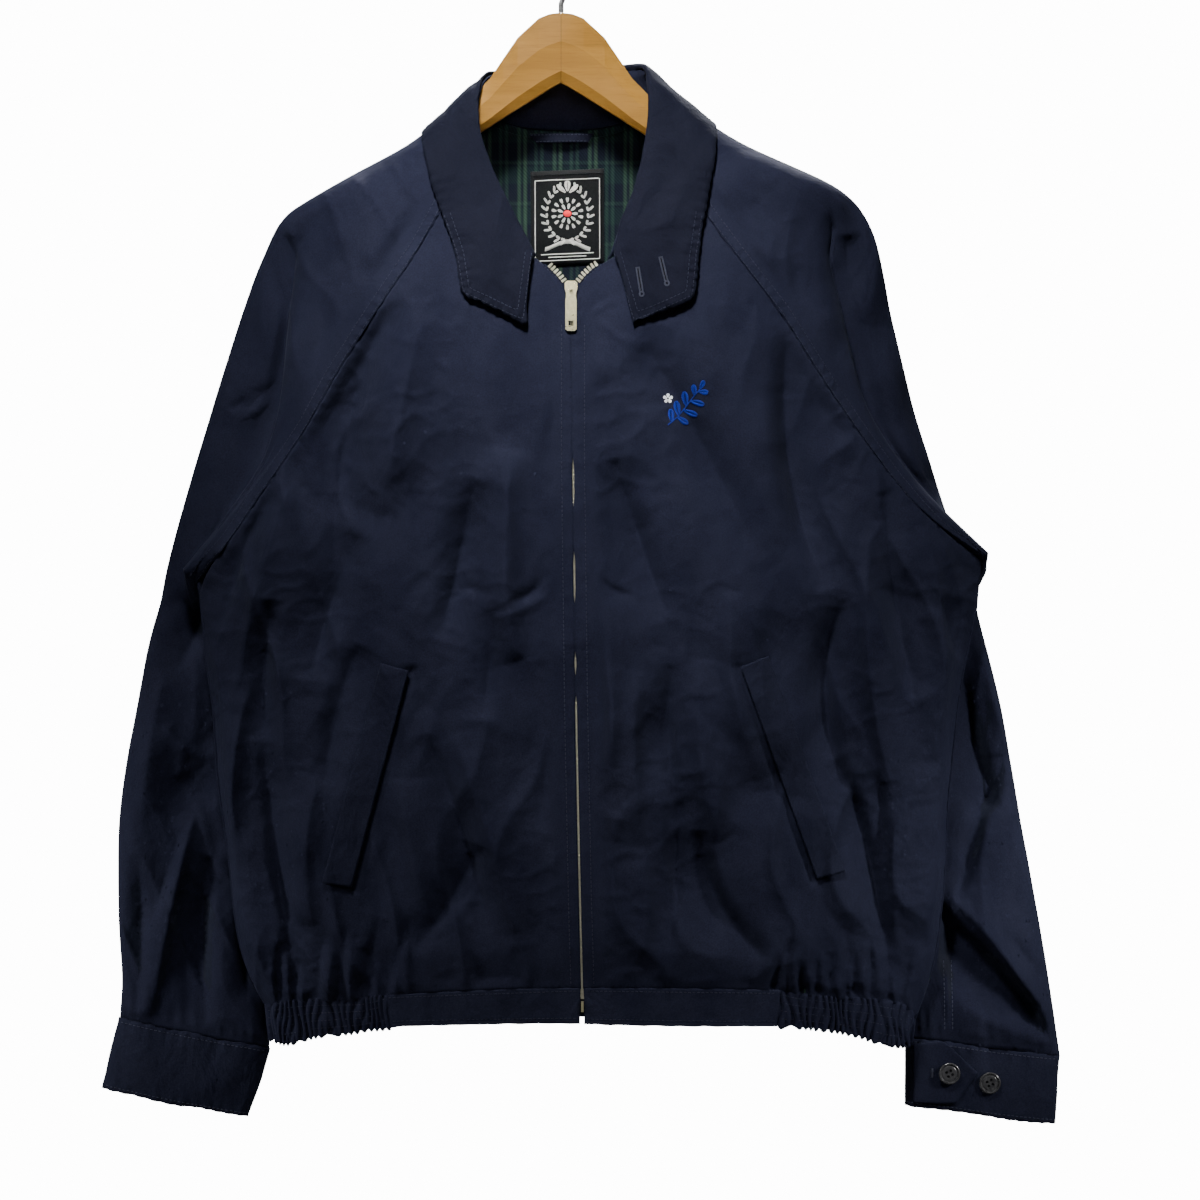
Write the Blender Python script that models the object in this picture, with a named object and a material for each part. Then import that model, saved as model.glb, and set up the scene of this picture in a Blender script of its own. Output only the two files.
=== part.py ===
"""A navy harrington jacket, zipped up and hanging on a plain wooden hanger.

Frame: the origin is the inner top of the hanger's hook, +Z is up, the front of the jacket
faces -Y and the wearer's left is at +X. The tables and constants below are in millimetres;
the objects are built in metres. The cloth is a wall grown outwards from a surface that a
table of sections gives, so neighbouring panels share their surface and stay SEAM apart.
"""
import math

import bmesh
import bpy
import numpy as np
from mathutils import Vector
from mathutils.bvhtree import BVHTree

MM = 0.001
SEAM = 0.3            # gap between sewn pieces
CLOTH = 1.5           # body and sleeve cloth
DOUBLE_CLOTH = 2.2    # collar, cuffs and bands, which are two layers and a stiffener
RIGHT, LEFT = -1, 1   # the wearer's sides
SIDE_NAME = {RIGHT: "right", LEFT: "left"}

# ---------------------------------------------------------------- driving dimensions
ZIP_TAPE_WIDTH = 14.0
ZIP_GAP = 0.9             # half of the space between the two front edges
SLIDER_BAY = 5.2          # the same, where the slider lies
SLIDER_MIDDLE = -274.3    # height of the slider's middle
PULL_TAB_SIZE = (8.4, 33.0, 1.2)
PULL_TAB_SWING = 155.0    # degrees
BAND_WIDTH = 9.0          # the topstitched seam along the raglan line
BAND_RISE = 0.7
BUTTON_DIAMETER = 16.5
BUTTON_THICKNESS = 3.2
WELT_THICKNESS = 1.6
HEM_END = -800.0          # nominal height of the last body section, before it follows the hem
ELASTIC_START = {RIGHT: -130.0, LEFT: 165.0}
HEM_SEAM = 0.45           # gap between the body and its hem band
GATHER_PITCH = 5.6
GATHER_HEIGHT = 1.8
HOOK_RADIUS = 20.0        # inside the hook
HOOK_WIRE = 4.0

# Sections of the body: height, y of the front layer's edge, y of the back's edge, depth of
# the front and of the back at the middle, and how squarely the back rounds to its edge.
SECTIONS = {
    "z":           (-120, -138, -155, -182, -215, -250, -300, -350, -400, -450, -494, -560,
                    -650, -740, -780, -800, -845),
    "front_edge":  (0, 0, 0, 0, -2, -6, -11, -14, -15, -16, -14, -12, -12, -11, -9, -7, -6),
    "back_edge":   (0, 0, 0, 0, 1, 2, 0, -3, -7, -10, -14, -12, -12, -11, -9, -7, -6),
    "front_depth": (12, 17, 20, 24, 29, 33, 36, 37, 37, 37, 40, 43, 45, 46, 45, 40, 36),
    "back_depth":  (14, 22, 30, 33, 35, 36, 40, 45, 48, 50, 52, 50, 50, 48, 44, 38, 34),
    "back_power":  (.42, .42, .42, .42, .45, .5, .6, .7, .8, .8, .8, .8, .8, .8, .75, .7, .7),
}
FRONT_ROUNDING = 2.4      # exponent of the front's section

# The outline of the front layer on each side, from the neck along the shoulder, the fold in
# the sleeve and the raglan seam's edge to the underarm corner, then down the body: z and x.
OUTLINE = {
    RIGHT: ((-120, -71), (-125, -73), (-134, -82), (-144, -91), (-155, -105), (-164, -121),
            (-175, -140), (-185, -160), (-195, -179), (-204, -192), (-212, -199), (-229, -199),
            (-247, -201), (-268, -204), (-298, -206), (-327, -208), (-350, -209), (-381, -210),
            (-421, -234), (-445, -250), (-458, -262), (-472, -273), (-482, -285), (-494, -274),
            (-503, -271), (-519, -270), (-538, -268), (-558, -267), (-572, -265), (-590, -261),
            (-629, -260), (-658, -256), (-682, -253), (-706, -249), (-734, -247), (-760, -244),
            (-776, -238), (-790, -229), (-800, -222), (-845, -216)),
    LEFT: ((-118, 80), (-124, 84), (-130, 90), (-144, 107), (-152, 119), (-160, 135),
           (-167, 153), (-176, 173), (-185, 195), (-194, 212), (-203, 214), (-212, 210),
           (-232, 202), (-251, 201), (-271, 205), (-293, 214), (-317, 220), (-349, 223),
           (-356, 227), (-416, 264), (-429, 277), (-440, 290), (-455, 304), (-469, 325),
           (-477, 318), (-496, 315), (-511, 314), (-530, 310), (-559, 305), (-578, 300),
           (-601, 298), (-629, 296), (-658, 292), (-687, 291), (-715, 290), (-754, 286),
           (-776, 281), (-790, 276), (-800, 268), (-845, 262)),
}

# The front raglan seam: z and x.
FRONT_SEAM = {
    RIGHT: ((-182, -73.5), (-215, -91), (-241, -105), (-291, -139), (-338, -169), (-375, -189),
            (-415, -216), (-430, -228), (-446, -237), (-462, -248), (-481, -265), (-494, -274)),
    LEFT: ((-187, 91.5), (-216, 109), (-251, 135), (-290, 165), (-347, 201), (-382, 225),
           (-416, 250), (-434, 265), (-447, 277), (-459, 290), (-467, 304), (-477, 318)),
}
# The back raglan seam: z and x.
BACK_SEAM = {
    RIGHT: ((-134, -62), (-160, -76), (-215, -106), (-300, -160), (-380, -206), (-440, -240),
            (-475, -260), (-494, -274)),
    LEFT: ((-134, 66), (-160, 82), (-215, 118), (-300, 176), (-380, 232), (-435, 275),
           (-462, 300), (-477, 318)),
}
# Neck seam on the front, from the open end of the zip to the raglan seam: x and z.
FRONT_NECK = {
    RIGHT: ((-19.5, -249), (-36, -237), (-52, -220), (-64, -202), (-73.5, -182)),
    LEFT: ((38.6, -251), (54, -241), (70, -226), (82, -208), (91.5, -187)),
}
# Heights of the back neck seam and of the body's lower edge, by x.
BACK_NECK = ((-62, -134), (-48, -141), (-25, -147), (2, -148), (29, -147), (52, -141), (66, -134))
HEM_LINE = ((-222, -814), (-207, -810), (-187, -808), (-149, -807.5), (-130, -802.5),
            (-111, -801.5), (7, -797), (28, -797), (165, -799), (181, -803), (201, -805.5),
            (239, -808), (258, -812), (268, -823))
HEM_BOTTOM = ((-222, -838.5), (-209, -841), (-197, -838), (-187, -835), (-169, -833),
              (-149, -830.5), (-130, -827), (-105, -826), (7, -824), (28, -825), (126, -826.5),
              (165, -826.5), (187, -828), (210, -831), (229, -835), (247, -841), (268, -843))
# The centre line of the zip, z and x, and the distance from it to each front edge.
ZIP_LINE = ((-245, 8), (-270, 8.2), (-404, 9.8), (-581, 12), (-731, 15), (-845, 17.6))
ZIP_EDGE = {
    RIGHT: ((-247, 27.5), (-256, 18), (-262, 12), (-268, 5.4), (-284, SLIDER_BAY),
            (-292, ZIP_GAP), (-800, ZIP_GAP)),
    LEFT: ((-249, 30.4), (-256, 19), (-262, 12.4), (-268, 5.6), (-284, SLIDER_BAY),
           (-292, ZIP_GAP), (-800, ZIP_GAP)),
}

# The largest folds: the three points of a bend (x, z, x, z, x, z), its width and its height,
# which is positive for a ridge that stands forward and negative for a trough.
FRONT_FOLDS = (
    (-124, -274, -159, -374, -170, -484, 22, -7),
    (-102, -283, -121, -374, -137, -442, 24, 5),
    (-216, -424, -240, -476, -254, -530, 9, -8),
    (-199, -418, -223, -480, -247, -592, 12, 6),
    (-152, -457, -175, -519, -186, -566, 20, -6),
    (-223, -607, -214, -701, -196, -806, 11, -10),
    (-101, -607, -78, -667, -49, -769, 12, -8),
    (-79, -607, -54, -679, -30, -754, 16, 5),
    (-64, -416, -75, -476, -90, -536, 20, -5),
    (-161, -755, -164, -785, -166, -806, 10, -5),
    (64, -315, 103, -382, 151, -476, 20, -7),
    (172, -304, 172, -401, 199, -499, 16, -7),
    (214, -506, 200, -574, 214, -649, 13, -11),
    (208, -626, 231, -694, 249, -790, 13, -10),
    (234, -446, 231, -551, 251, -656, 13, 6),
    (243, -424, 253, -506, 266, -581, 12, -6),
    (84, -555, 82, -611, 90, -675, 12, -8),
    (105, -551, 105, -626, 120, -686, 16, 5),
    (104, -679, 121, -735, 156, -776, 18, -8),
    (214, -756, 217, -784, 216, -806, 10, -6),
    (40, -401, 60, -461, 81, -521, 18, -5),
)
BACK_FOLDS = (
    (-60, -260, -95, -380, -150, -500, 24, -6),
    (75, -255, 110, -390, 175, -500, 24, -7),
    (-20, -300, -35, -480, -25, -640, 26, -5),
    (60, -420, 50, -560, 70, -720, 24, -6),
    (-120, -560, -105, -660, -125, -780, 20, -8),
    (150, -560, 170, -670, 150, -785, 20, -8),
    (20, -600, 5, -700, 25, -790, 16, 5),
)
SLEEVE_FOLDS = {
    RIGHT: ((-244, -360, -228, -352, -214, -344, 9, 4), (-258, -420, -268, -500, -292, -560, 14, -5),
            (-292, -640, -281, -652, -262, -660, 10, -6), (-278, -668, -290, -720, -312, -822, 9, 5),
            (-266, -700, -272, -760, -268, -830, 12, -5)),
    LEFT: ((246, -300, 262, -380, 280, -430, 10, -4), (304, -570, 317, -640, 330, -676, 12, -6),
           (322, -660, 312, -700, 300, -735, 10, -6), (292, -722, 318, -762, 372, -812, 12, 8),
           (288, -752, 308, -796, 350, -822, 12, -8), (300, -818, 330, -826, 372, -838, 7, 4)),
}

# Upper part of each sleeve, a row for each section from the neck to the underarm corner: z of
# its start on the front seam, x and z of the fold, x and z of the outline, how far the arm
# steps back behind the fold (0 to 1), and the y of the arm's front, outline and back.
SLEEVE_TOP_COLUMNS = ("seam_z", "fold_x", "fold_z", "edge_x", "edge_z", "step",
                      "front_y", "edge_y", "back_y", "blade_x")
SLEEVE_TOP = {
    RIGHT: ((-182, -78.5, -148, -73, -125, 0, -10, 0, 12, -67),
            (-215, -100, -181, -105, -156, 0, -12, 0, 18, -92),
            (-241, -120, -198, -130, -170, 0, -13, 0, 20, -112),
            (-266, -142, -213, -156, -183, 0, -13, 0, 21, -133),
            (-291, -169, -223, -179, -196, 0, -12, 0, 21, -155),
            (-315, -192, -227, -197, -207, .2, -11, 0, 21, -173),
            (-338, -200, -252, -211, -216, .7, -8, 2, 22, -188),
            (-370, -206, -306, -223, -238, 1, -3, 7, 25, -202),
            (-394, -209, -358, -238, -276, 1, -1, 10, 28, -213),
            (-415, -221, -401, -252, -319, 1, 0, 12, 30, -224),
            (-446, -247, -437, -270, -377, 1, 0, 14, 31, -236),
            (-468, -264, -460, -286, -431, 1, 0, 14, 31, -250),
            (-494, -284, -483, -301, -488, 1, 0, 14, 32, -264)),
    LEFT: ((-187, 97, -150, 83, -124, 0, -10, 0, 12, 74),
           (-216, 122, -176, 128, -157, 0, -12, 0, 18, 106),
           (-243, 150, -190, 160, -171, 0, -13, 0, 20, 131),
           (-268, 180, -200, 190, -184, 0, -13, 0, 21, 155),
           (-288, 202, -209, 213, -195, .1, -12, 0, 21, 177),
           (-304, 206, -226, 229, -210, .5, -10, 1, 21, 194),
           (-318, 202, -249, 239, -230, .8, -6, 4, 22, 209),
           (-338, 212, -288, 245, -258, 1, -3, 8, 25, 222),
           (-357, 221, -333, 250, -287, 1, -1, 10, 28, 233),
           (-376, 228, -361, 256, -312, 1, 0, 12, 30, 245),
           (-412, 254, -402, 268, -365, 1, 0, 14, 31, 259),
           (-445, 284, -436, 287, -421, 1, -1, 15, 32, 275),
           (-477, 322, -471, 306, -486, 1, -3, 17, 33, 290)),
}
# Lower part: x and z of the inner and of the outer edge, their y, and the half depths of the
# tube in front and behind.
SLEEVE_TUBE_COLUMNS = ("inner_x", "inner_z", "outer_x", "outer_z", "inner_y", "outer_y",
                       "front", "back")
SLEEVE_TUBE = {
    RIGHT: ((-250, -530, -311, -532, 22, 14, 13, 13), (-236, -580, -321, -585, 27, 14, 14, 13),
            (-222, -640, -331.5, -640, 28, 14, 15, 14), (-216, -694, -336.5, -690, 27, 13, 15, 14),
            (-217, -748, -336.5, -744, 25, 12, 14, 13), (-219, -803, -332.5, -795, 20, 10, 13, 12),
            (-221, -847, -334.5, -823, 14, 8, 11, 11)),
    LEFT: ((280, -522, 317, -520, 21, 14, 12, 13), (264, -575, 331, -573, 26, 14, 14, 13),
           (258, -630, 342, -628, 27, 14, 15, 14), (257, -685, 351.5, -683, 27, 13, 15, 14),
           (257, -740, 361.5, -738, 25, 12, 15, 13), (260, -795, 370.5, -793, 19, 10, 14, 12),
           (262, -838, 379, -852, 13, 8, 11, 11)),
}
TUBE_ANGLES = (15, 30, 50, 72, 95, 135, 180, 210, 260, 310, 345)   # of the tube's key columns
# The ring just under the underarm, where the sleeve passes behind the body: x, y, z of the
# same eleven key columns.
UNDERARM_RING = {
    RIGHT: ((-270, 1, -506.5), (-272.5, -1, -506), (-276, -2.5, -505), (-280.5, -2, -503),
            (-283, 2, -502), (-291, 7, -504), (-303, 14, -505), (-296, 25, -505),
            (-273, 32, -506), (-262, 20, -506), (-267.5, 5, -505)),
    LEFT: ((316.5, 0, -489), (318, -3, -488), (320, -4, -487), (322, -2, -486),
           (322.5, 4, -488), (318, 10, -493), (312, 17, -498), (304, 26, -499),
           (295, 32, -500), (292, 20, -496), (314.5, 5, -490)),
}
# How far the arm's front has turned to its outline's y at the middle, by row.
MIDDLE_TURN = (0, 0, 0, 0, 0, 0, 0.1, 0.15, 0.2, 0.3, 0.4, 0.5, 0.55)
CORNER_THINNING = 0.6     # of the cloth where the four seams meet
UNDERARM_OPENING = 2.2    # how far the sleeve's corner keeps out of the body's there
TUBE_ROUNDING = 2.3
LAST_TOP_ROW = 12

# Where each cuff's lower edge lies, as a shift from its upper edge (x, z), and the narrowing.
CUFF_DROP = {RIGHT: (-14.2, -53.4), LEFT: (-2.4, -52.0)}
CUFF_NARROWING = 0.965

# Collar, from its front end to the middle of the back: the neck seam, the fold line and the
# outer edge, as x, y, z. In front, a y of None lies on the jacket's front.
COLLAR_COLUMNS = ("seam", "fold", "outer")
COLLAR = {
    RIGHT: (((-19.5, None, -249), (-19.5, -41, -246), (-26, None, -299)),
            ((-36, None, -237), (-29, -38, -229), (-42, None, -292)),
            ((-52, None, -220), (-39, -34, -211), (-58, None, -284)),
            ((-64, None, -202), (-48, -29, -191), (-74, None, -277)),
            ((-73.5, None, -182), (-56, -23, -171), (-79, None, -246)),
            ((-78, None, -160), (-61, -17, -151), (-90, None, -214)),
            ((-79, None, -143), (-62, -13, -130), (-99, None, -183)),
            ((-72, 3, -121), (-57, 2, -108), (-105, 0, -150)),
            ((-60, 15, -131), (-46, 20, -104), (-92, 30, -155)),
            ((-32, 23, -142), (-24, 29, -105), (-52, 36, -168)),
            ((2, 27, -145), (3, 32, -106), (3, 40, -174))),
    LEFT: (((38.6, None, -251), (39, -41, -247), (54, None, -299)),
           ((54, None, -241), (44, -38, -226), (70, None, -293)),
           ((70, None, -226), (51, -34, -209), (86, None, -286)),
           ((82, None, -208), (58, -29, -189), (101, None, -279)),
           ((91.5, None, -187), (63, -23, -170), (104, None, -247)),
           ((97, None, -164), (66, -17, -150), (109, None, -214)),
           ((98, None, -145), (67, -13, -127), (114, None, -180)),
           ((82, 3, -119), (65, 2, -103), (117, 0, -145)),
           ((64, 15, -130), (52, 20, -101), (103, 30, -152)),
           ((36, 23, -141), (30, 29, -104), (58, 36, -167)),
           ((2, 27, -145), (3, 32, -106), (3, 40, -174))),
}
LEAF_LIFT = 4.5           # how far the collar's edge stands off the cloth under it
LEAF_ROLL = 5.0           # and how much more the leaf rolls out between fold and edge
LEAF_CLEARANCE = 2.4      # least distance from the leaf to the jacket's outside

# Pocket welts: the corners x, z of the outer top, inner top, inner bottom and outer bottom.
WELTS = {
    RIGHT: ((-134, -553.5), (-113, -559), (-156, -721), (-178, -718)),
    LEFT: ((156, -548), (135, -556), (192.5, -715), (213.5, -709.5)),
}

# Hanger: distance from the middle, heights of its top and bottom and its half thickness.
HANGER = {
    "x":      (0.15, 9, 17, 33, 44, 54, 66, 80, 100, 124, 150, 172, 184, 190),
    "top":    (-60.8, -62, -65.2, -79.9, -96, -111, -123, -139, -157, -170.5, -184.5, -197, -205, -212),
    "bottom": (-114, -119, -124, -134, -141, -147.5, -155, -166, -182, -198, -212, -222, -225, -222),
    "half":   (6.5, 6.5, 6.5, 6.5, 6.5, 6.5, 6.5, 6.5, 7, 7.5, 8, 7.5, 6, 4),
}

BUTTONS = {LEFT: ((294.8, -865.0), (325.5, -872.2)), RIGHT: ((-301.5, -863.0), (-271.0, -869.5))}

COLOURS = {
    "navy": ((0.012, 0.014, 0.032, 1), 0.85, 0.0),
    "tartan": ((0.012, 0.020, 0.022, 1), 0.8, 0.0),
    "label": ((0.010, 0.010, 0.012, 1), 0.7, 0.0),
    "metal": ((0.60, 0.59, 0.57, 1), 0.3, 1.0),
    "button": ((0.012, 0.012, 0.016, 1), 0.25, 0.0),
    "tape": ((0.012, 0.014, 0.028, 1), 0.8, 0.0),
    "wood": ((0.62, 0.40, 0.20, 1), 0.45, 0.0),
}


# ---------------------------------------------------------------- curves and tables
def monotone(xs, ys, at):
    """A smooth curve through the points, without overshoot; ys may have columns."""
    xs = np.asarray(xs, float)
    ys = np.asarray(ys, float)
    flat = ys.ndim == 1
    ys = ys[:, None] if flat else ys
    at = np.asarray(at, float)
    step = np.diff(xs)[:, None]
    slope = np.diff(ys, axis=0) / step
    product = slope[:-1] * slope[1:]
    total = slope[:-1] + slope[1:]
    inner = np.where(product > 0, 2 * product / np.where(total == 0, 1, total), 0)
    tangent = np.vstack((slope[:1], inner, slope[-1:]))
    clipped = np.clip(at, xs[0], xs[-1]).ravel()
    i = np.clip(np.searchsorted(xs, clipped) - 1, 0, len(xs) - 2)
    t = ((clipped - xs[i]) / np.diff(xs)[i])[:, None]
    h = step[i]
    value = (ys[i] * (1 + 2 * t) * (1 - t) ** 2 + ys[i + 1] * t * t * (3 - 2 * t)
             + tangent[i] * h * t * (1 - t) ** 2 - tangent[i + 1] * h * t * t * (1 - t))
    return value[:, 0].reshape(at.shape) if flat else value.reshape(at.shape + (-1,))


def along(rows, at):
    """Reads a table of (place, value) rows, whose places rise or fall."""
    rows = sorted(rows)
    return monotone([r[0] for r in rows], [r[1] for r in rows], at)


def section(column, z):
    return monotone(-np.asarray(SECTIONS["z"], float), SECTIONS[column], -np.asarray(z, float))


def fade(t):
    t = np.clip(t, 0, 1)
    return t * t * (3 - 2 * t)


def fold_relief(x, z, folds):
    """Height of the folds at each point, along bends given by three points each."""
    height = np.zeros(np.shape(x))
    t = np.linspace(0, 1, 21)
    for x1, z1, x2, z2, x3, z3, width, tall in folds:
        bend_x = x1 * (1 - t) ** 2 + (2 * x2 - (x1 + x3) / 2) * 2 * t * (1 - t) + x3 * t * t
        bend_z = z1 * (1 - t) ** 2 + (2 * z2 - (z1 + z3) / 2) * 2 * t * (1 - t) + z3 * t * t
        apart = (x[..., None] - bend_x) ** 2 + (z[..., None] - bend_z) ** 2
        nearest = apart.argmin(axis=-1)
        reach = np.sqrt(np.take_along_axis(apart, nearest[..., None], -1))[..., 0]
        taper = np.sin(math.pi * t[nearest]) ** 0.7
        height += tall * taper * np.exp(-(reach / width) ** 2)
    return height


# ---------------------------------------------------------------- the jacket's surfaces
def across(x, z):
    """How far a point lies from the middle of its section, 0 to 1."""
    low = along(OUTLINE[RIGHT], z)
    high = along(OUTLINE[LEFT], z)
    return np.clip(np.abs(x - (low + high) / 2) / ((high - low) / 2), 0, 1)


def front_y(x, z):
    x, z = np.broadcast_arrays(np.asarray(x, float), np.asarray(z, float))
    arch = (1 - across(x, z) ** FRONT_ROUNDING) ** (1 / FRONT_ROUNDING)
    return section("front_edge", z) - section("front_depth", z) * arch - fold_relief(x, z, FRONT_FOLDS)


def back_y(x, z):
    x, z = np.broadcast_arrays(np.asarray(x, float), np.asarray(z, float))
    arch = (1 - across(x, z) ** 2) ** section("back_power", z)
    return section("back_edge", z) + section("back_depth", z) * arch + fold_relief(x, z, BACK_FOLDS)


def points(x, y, z):
    x, y, z = np.broadcast_arrays(x, y, z)
    return np.stack((x, y, z), axis=-1).astype(float)


def hem_shift(x, z):
    """The last part of the body follows the hem line instead of a level line."""
    return (along(HEM_LINE, x) - HEM_END) * fade((-z - 740) / 60)


def seam_heights(side, rows):
    """Heights of the sections above the underarm, on the front seam."""
    heights = [row[0] for row in SLEEVE_TOP[side]]
    return monotone(range(len(heights)), heights, np.asarray(rows, float))


def back_seam_heights(side, rows):
    top, bottom = BACK_SEAM[side][0][0], BACK_SEAM[side][-1][0]
    return top + (bottom - top) * (np.asarray(rows, float) / LAST_TOP_ROW)


def zip_edge(side, z):
    return along(ZIP_LINE, z) + side * along(ZIP_EDGE[side], z)


def front_inner_edge(side, z):
    """x of a front panel's inner edge: the neck seam above, the zip below."""
    neck = [(point[1], point[0]) for point in FRONT_NECK[side]]
    end = FRONT_NECK[side][0][1]
    return np.where(z > end, along(neck, z), zip_edge(side, z))


def panel_rows(lower_rows):
    """Places of the sections: closer at the neck, down to the underarm, then to the hem."""
    upper = np.concatenate((np.arange(0, 3, 0.5), np.arange(3, LAST_TOP_ROW + 1)))
    return upper, np.linspace(0, 1, lower_rows + 1)[1:] ** 0.93


def front_panel(side, lower_rows, columns):
    """Grid of a front panel, from the neck down and from the zip to the side."""
    places, below = panel_rows(lower_rows)
    upper = seam_heights(side, places)
    upper[0] -= 5.0
    corner = upper[-1]
    z = np.concatenate((upper, corner + (HEM_END - corner) * below))[:, None]
    inner = front_inner_edge(side, z)
    seam = along(FRONT_SEAM[side], z) - side * SEAM / 2
    outer = np.where(z >= corner, seam, along(OUTLINE[side], z))
    u = np.linspace(0, 1, columns + 1)[None, :]
    crowd = 0.6 * fade((corner - z) / 60)
    x = inner + (outer - inner) * (u + crowd * (np.sin(u * math.pi / 2) - u))
    y = front_y(x, z)
    y = np.where((z <= corner) & (u == 1), section("front_edge", z) - 0.6 * SEAM, y)
    return points(x, y, z + hem_shift(x, z))


def back_panel(lower_rows, columns):
    """Grid of the back, from the neck down and from side to side."""
    places, below = panel_rows(lower_rows)
    heights, edges = {}, {}
    for side in (RIGHT, LEFT):
        upper = back_seam_heights(side, places)
        corner = upper[-1]
        lower = corner + (HEM_END - corner) * below
        heights[side] = np.concatenate((upper, lower))[:, None]
        seam = along(BACK_SEAM[side], upper) - side * SEAM / 2
        edges[side] = np.concatenate((seam, along(OUTLINE[side], lower)))[:, None]
    u = np.linspace(0, 1, columns + 1)[None, :]
    depth = np.concatenate((0 * places, below))[:, None]
    crowd = 0.6 * fade(depth * 5)
    spread = u + crowd * ((1 - np.cos(u * math.pi)) / 2 - u)
    x = edges[RIGHT] + (edges[LEFT] - edges[RIGHT]) * spread
    z = heights[RIGHT] + (heights[LEFT] - heights[RIGHT]) * spread
    top_drop = along(BACK_NECK, x) - z[0, 0]
    z = z + top_drop * (1 - fade((z[0, 0] - z) / 60))
    y = back_y(x, z)
    rim = ((u == 0) | (u == 1)) & (np.arange(len(z))[:, None] >= len(places) - 1)
    y = np.where(rim, section("back_edge", z) + 0.6 * SEAM, y)
    return points(x, y, z + hem_shift(x, z))


def sleeve_keys(side):
    """Key points of a sleeve: a row for each section, eleven columns from the front seam round
    the arm to the back seam, and below the underarm round the tube."""
    keys = []
    for row, values in enumerate(SLEEVE_TOP[side]):
        at = dict(zip(SLEEVE_TOP_COLUMNS, values))
        seam = np.array((along(FRONT_SEAM[side], at["seam_z"]), at["seam_z"]))
        back_z = back_seam_heights(side, row)
        back = np.array((along(BACK_SEAM[side], back_z), back_z))
        fold = np.array((at["fold_x"], at["fold_z"]))
        edge = np.array((at["edge_x"], at["edge_z"]))
        step = at["step"]
        toward = (seam - fold) / np.linalg.norm(seam - fold)
        reach = np.linalg.norm(seam - fold)
        band = seam - toward * min(BAND_WIDTH, 0.8 * reach)
        base = (fold * 0.67 + edge * 0.33) * (1 - step) + (fold - 1.0 * toward) * step
        middle = fold * 0.4 + edge * 0.6
        blade = np.array((at["blade_x"], edge[1] * 0.5 + back[1] * 0.5))
        shoulder = edge * 0.76 + blade * 0.24

        def front(place, stepped=0.0, toward_edge=0.0):
            arm = at["front_y"] + (at["edge_y"] - at["front_y"]) * toward_edge
            return front_y(*place) * (1 - stepped) + arm * stepped

        def behind(place, amount):
            return back_y(*place) * (1 - amount) + amount * (
                at["edge_y"] + (at["back_y"] - at["edge_y"]) * (0.45 if place is shoulder else 1))

        blade[0] += side * 4 * step
        high, low = behind(blade, step), back_y(*back)
        across_back = np.array((back[0] - blade[0], low - high))
        inward = unit(np.array((across_back[1], -across_back[0])) * side)
        tuck = (blade + back) / 2
        tuck_y = back_y(*tuck) * (1 - step) + (high + low) / 2 * step + 5 * step * inward[1]
        tuck[0] += 5 * step * inward[0]
        keys.append([
            (seam[0], front(seam), seam[1]),
            (band[0], front(band), band[1]),
            (*(band + fold)[:1] / 2, front((band + fold) / 2), (band + fold)[1] / 2),
            (fold[0], front(fold), fold[1]),
            (base[0], front(base, step), base[1]),
            (middle[0], front(middle, step, MIDDLE_TURN[row]), middle[1]),
            (edge[0], at["edge_y"], edge[1]),
            (shoulder[0], behind(shoulder, step), shoulder[1]),
            (blade[0], high, blade[1]),
            (tuck[0], tuck_y, tuck[1]),
            (back[0], low, back[1])])
    angles = np.radians(TUBE_ANGLES)
    for values in SLEEVE_TUBE[side]:
        at = dict(zip(SLEEVE_TUBE_COLUMNS, values))
        cosine = np.sign(np.cos(angles)) * np.abs(np.cos(angles)) ** (2 / TUBE_ROUNDING)
        sine = np.sign(np.sin(angles)) * np.abs(np.sin(angles)) ** (2 / TUBE_ROUNDING)
        inward = (1 + cosine) / 2
        x = at["outer_x"] + (at["inner_x"] - at["outer_x"]) * inward
        z = at["outer_z"] + (at["inner_z"] - at["outer_z"]) * inward
        y = at["outer_y"] + (at["inner_y"] - at["outer_y"]) * inward
        y = y - np.where(sine > 0, at["front"], at["back"]) * sine
        keys.append(list(zip(x, y, z)))
    keys = np.array(keys, float)
    last = keys[LAST_TOP_ROW]
    last[3, 1] = last[2, 1] = (last[0, 1] * 2 + last[3, 1]) / 3
    last[0, 0] = last[-1, 0] = along(FRONT_SEAM[side], last[0, 2]) + side * UNDERARM_OPENING
    last[0, 1] = section("front_edge", last[0, 2]) + UNDERARM_OPENING - SEAM
    last[-1, 1] = last[0, 1] + UNDERARM_OPENING
    return np.insert(keys, LAST_TOP_ROW + 1, np.array(UNDERARM_RING[side], float), axis=0)


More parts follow.
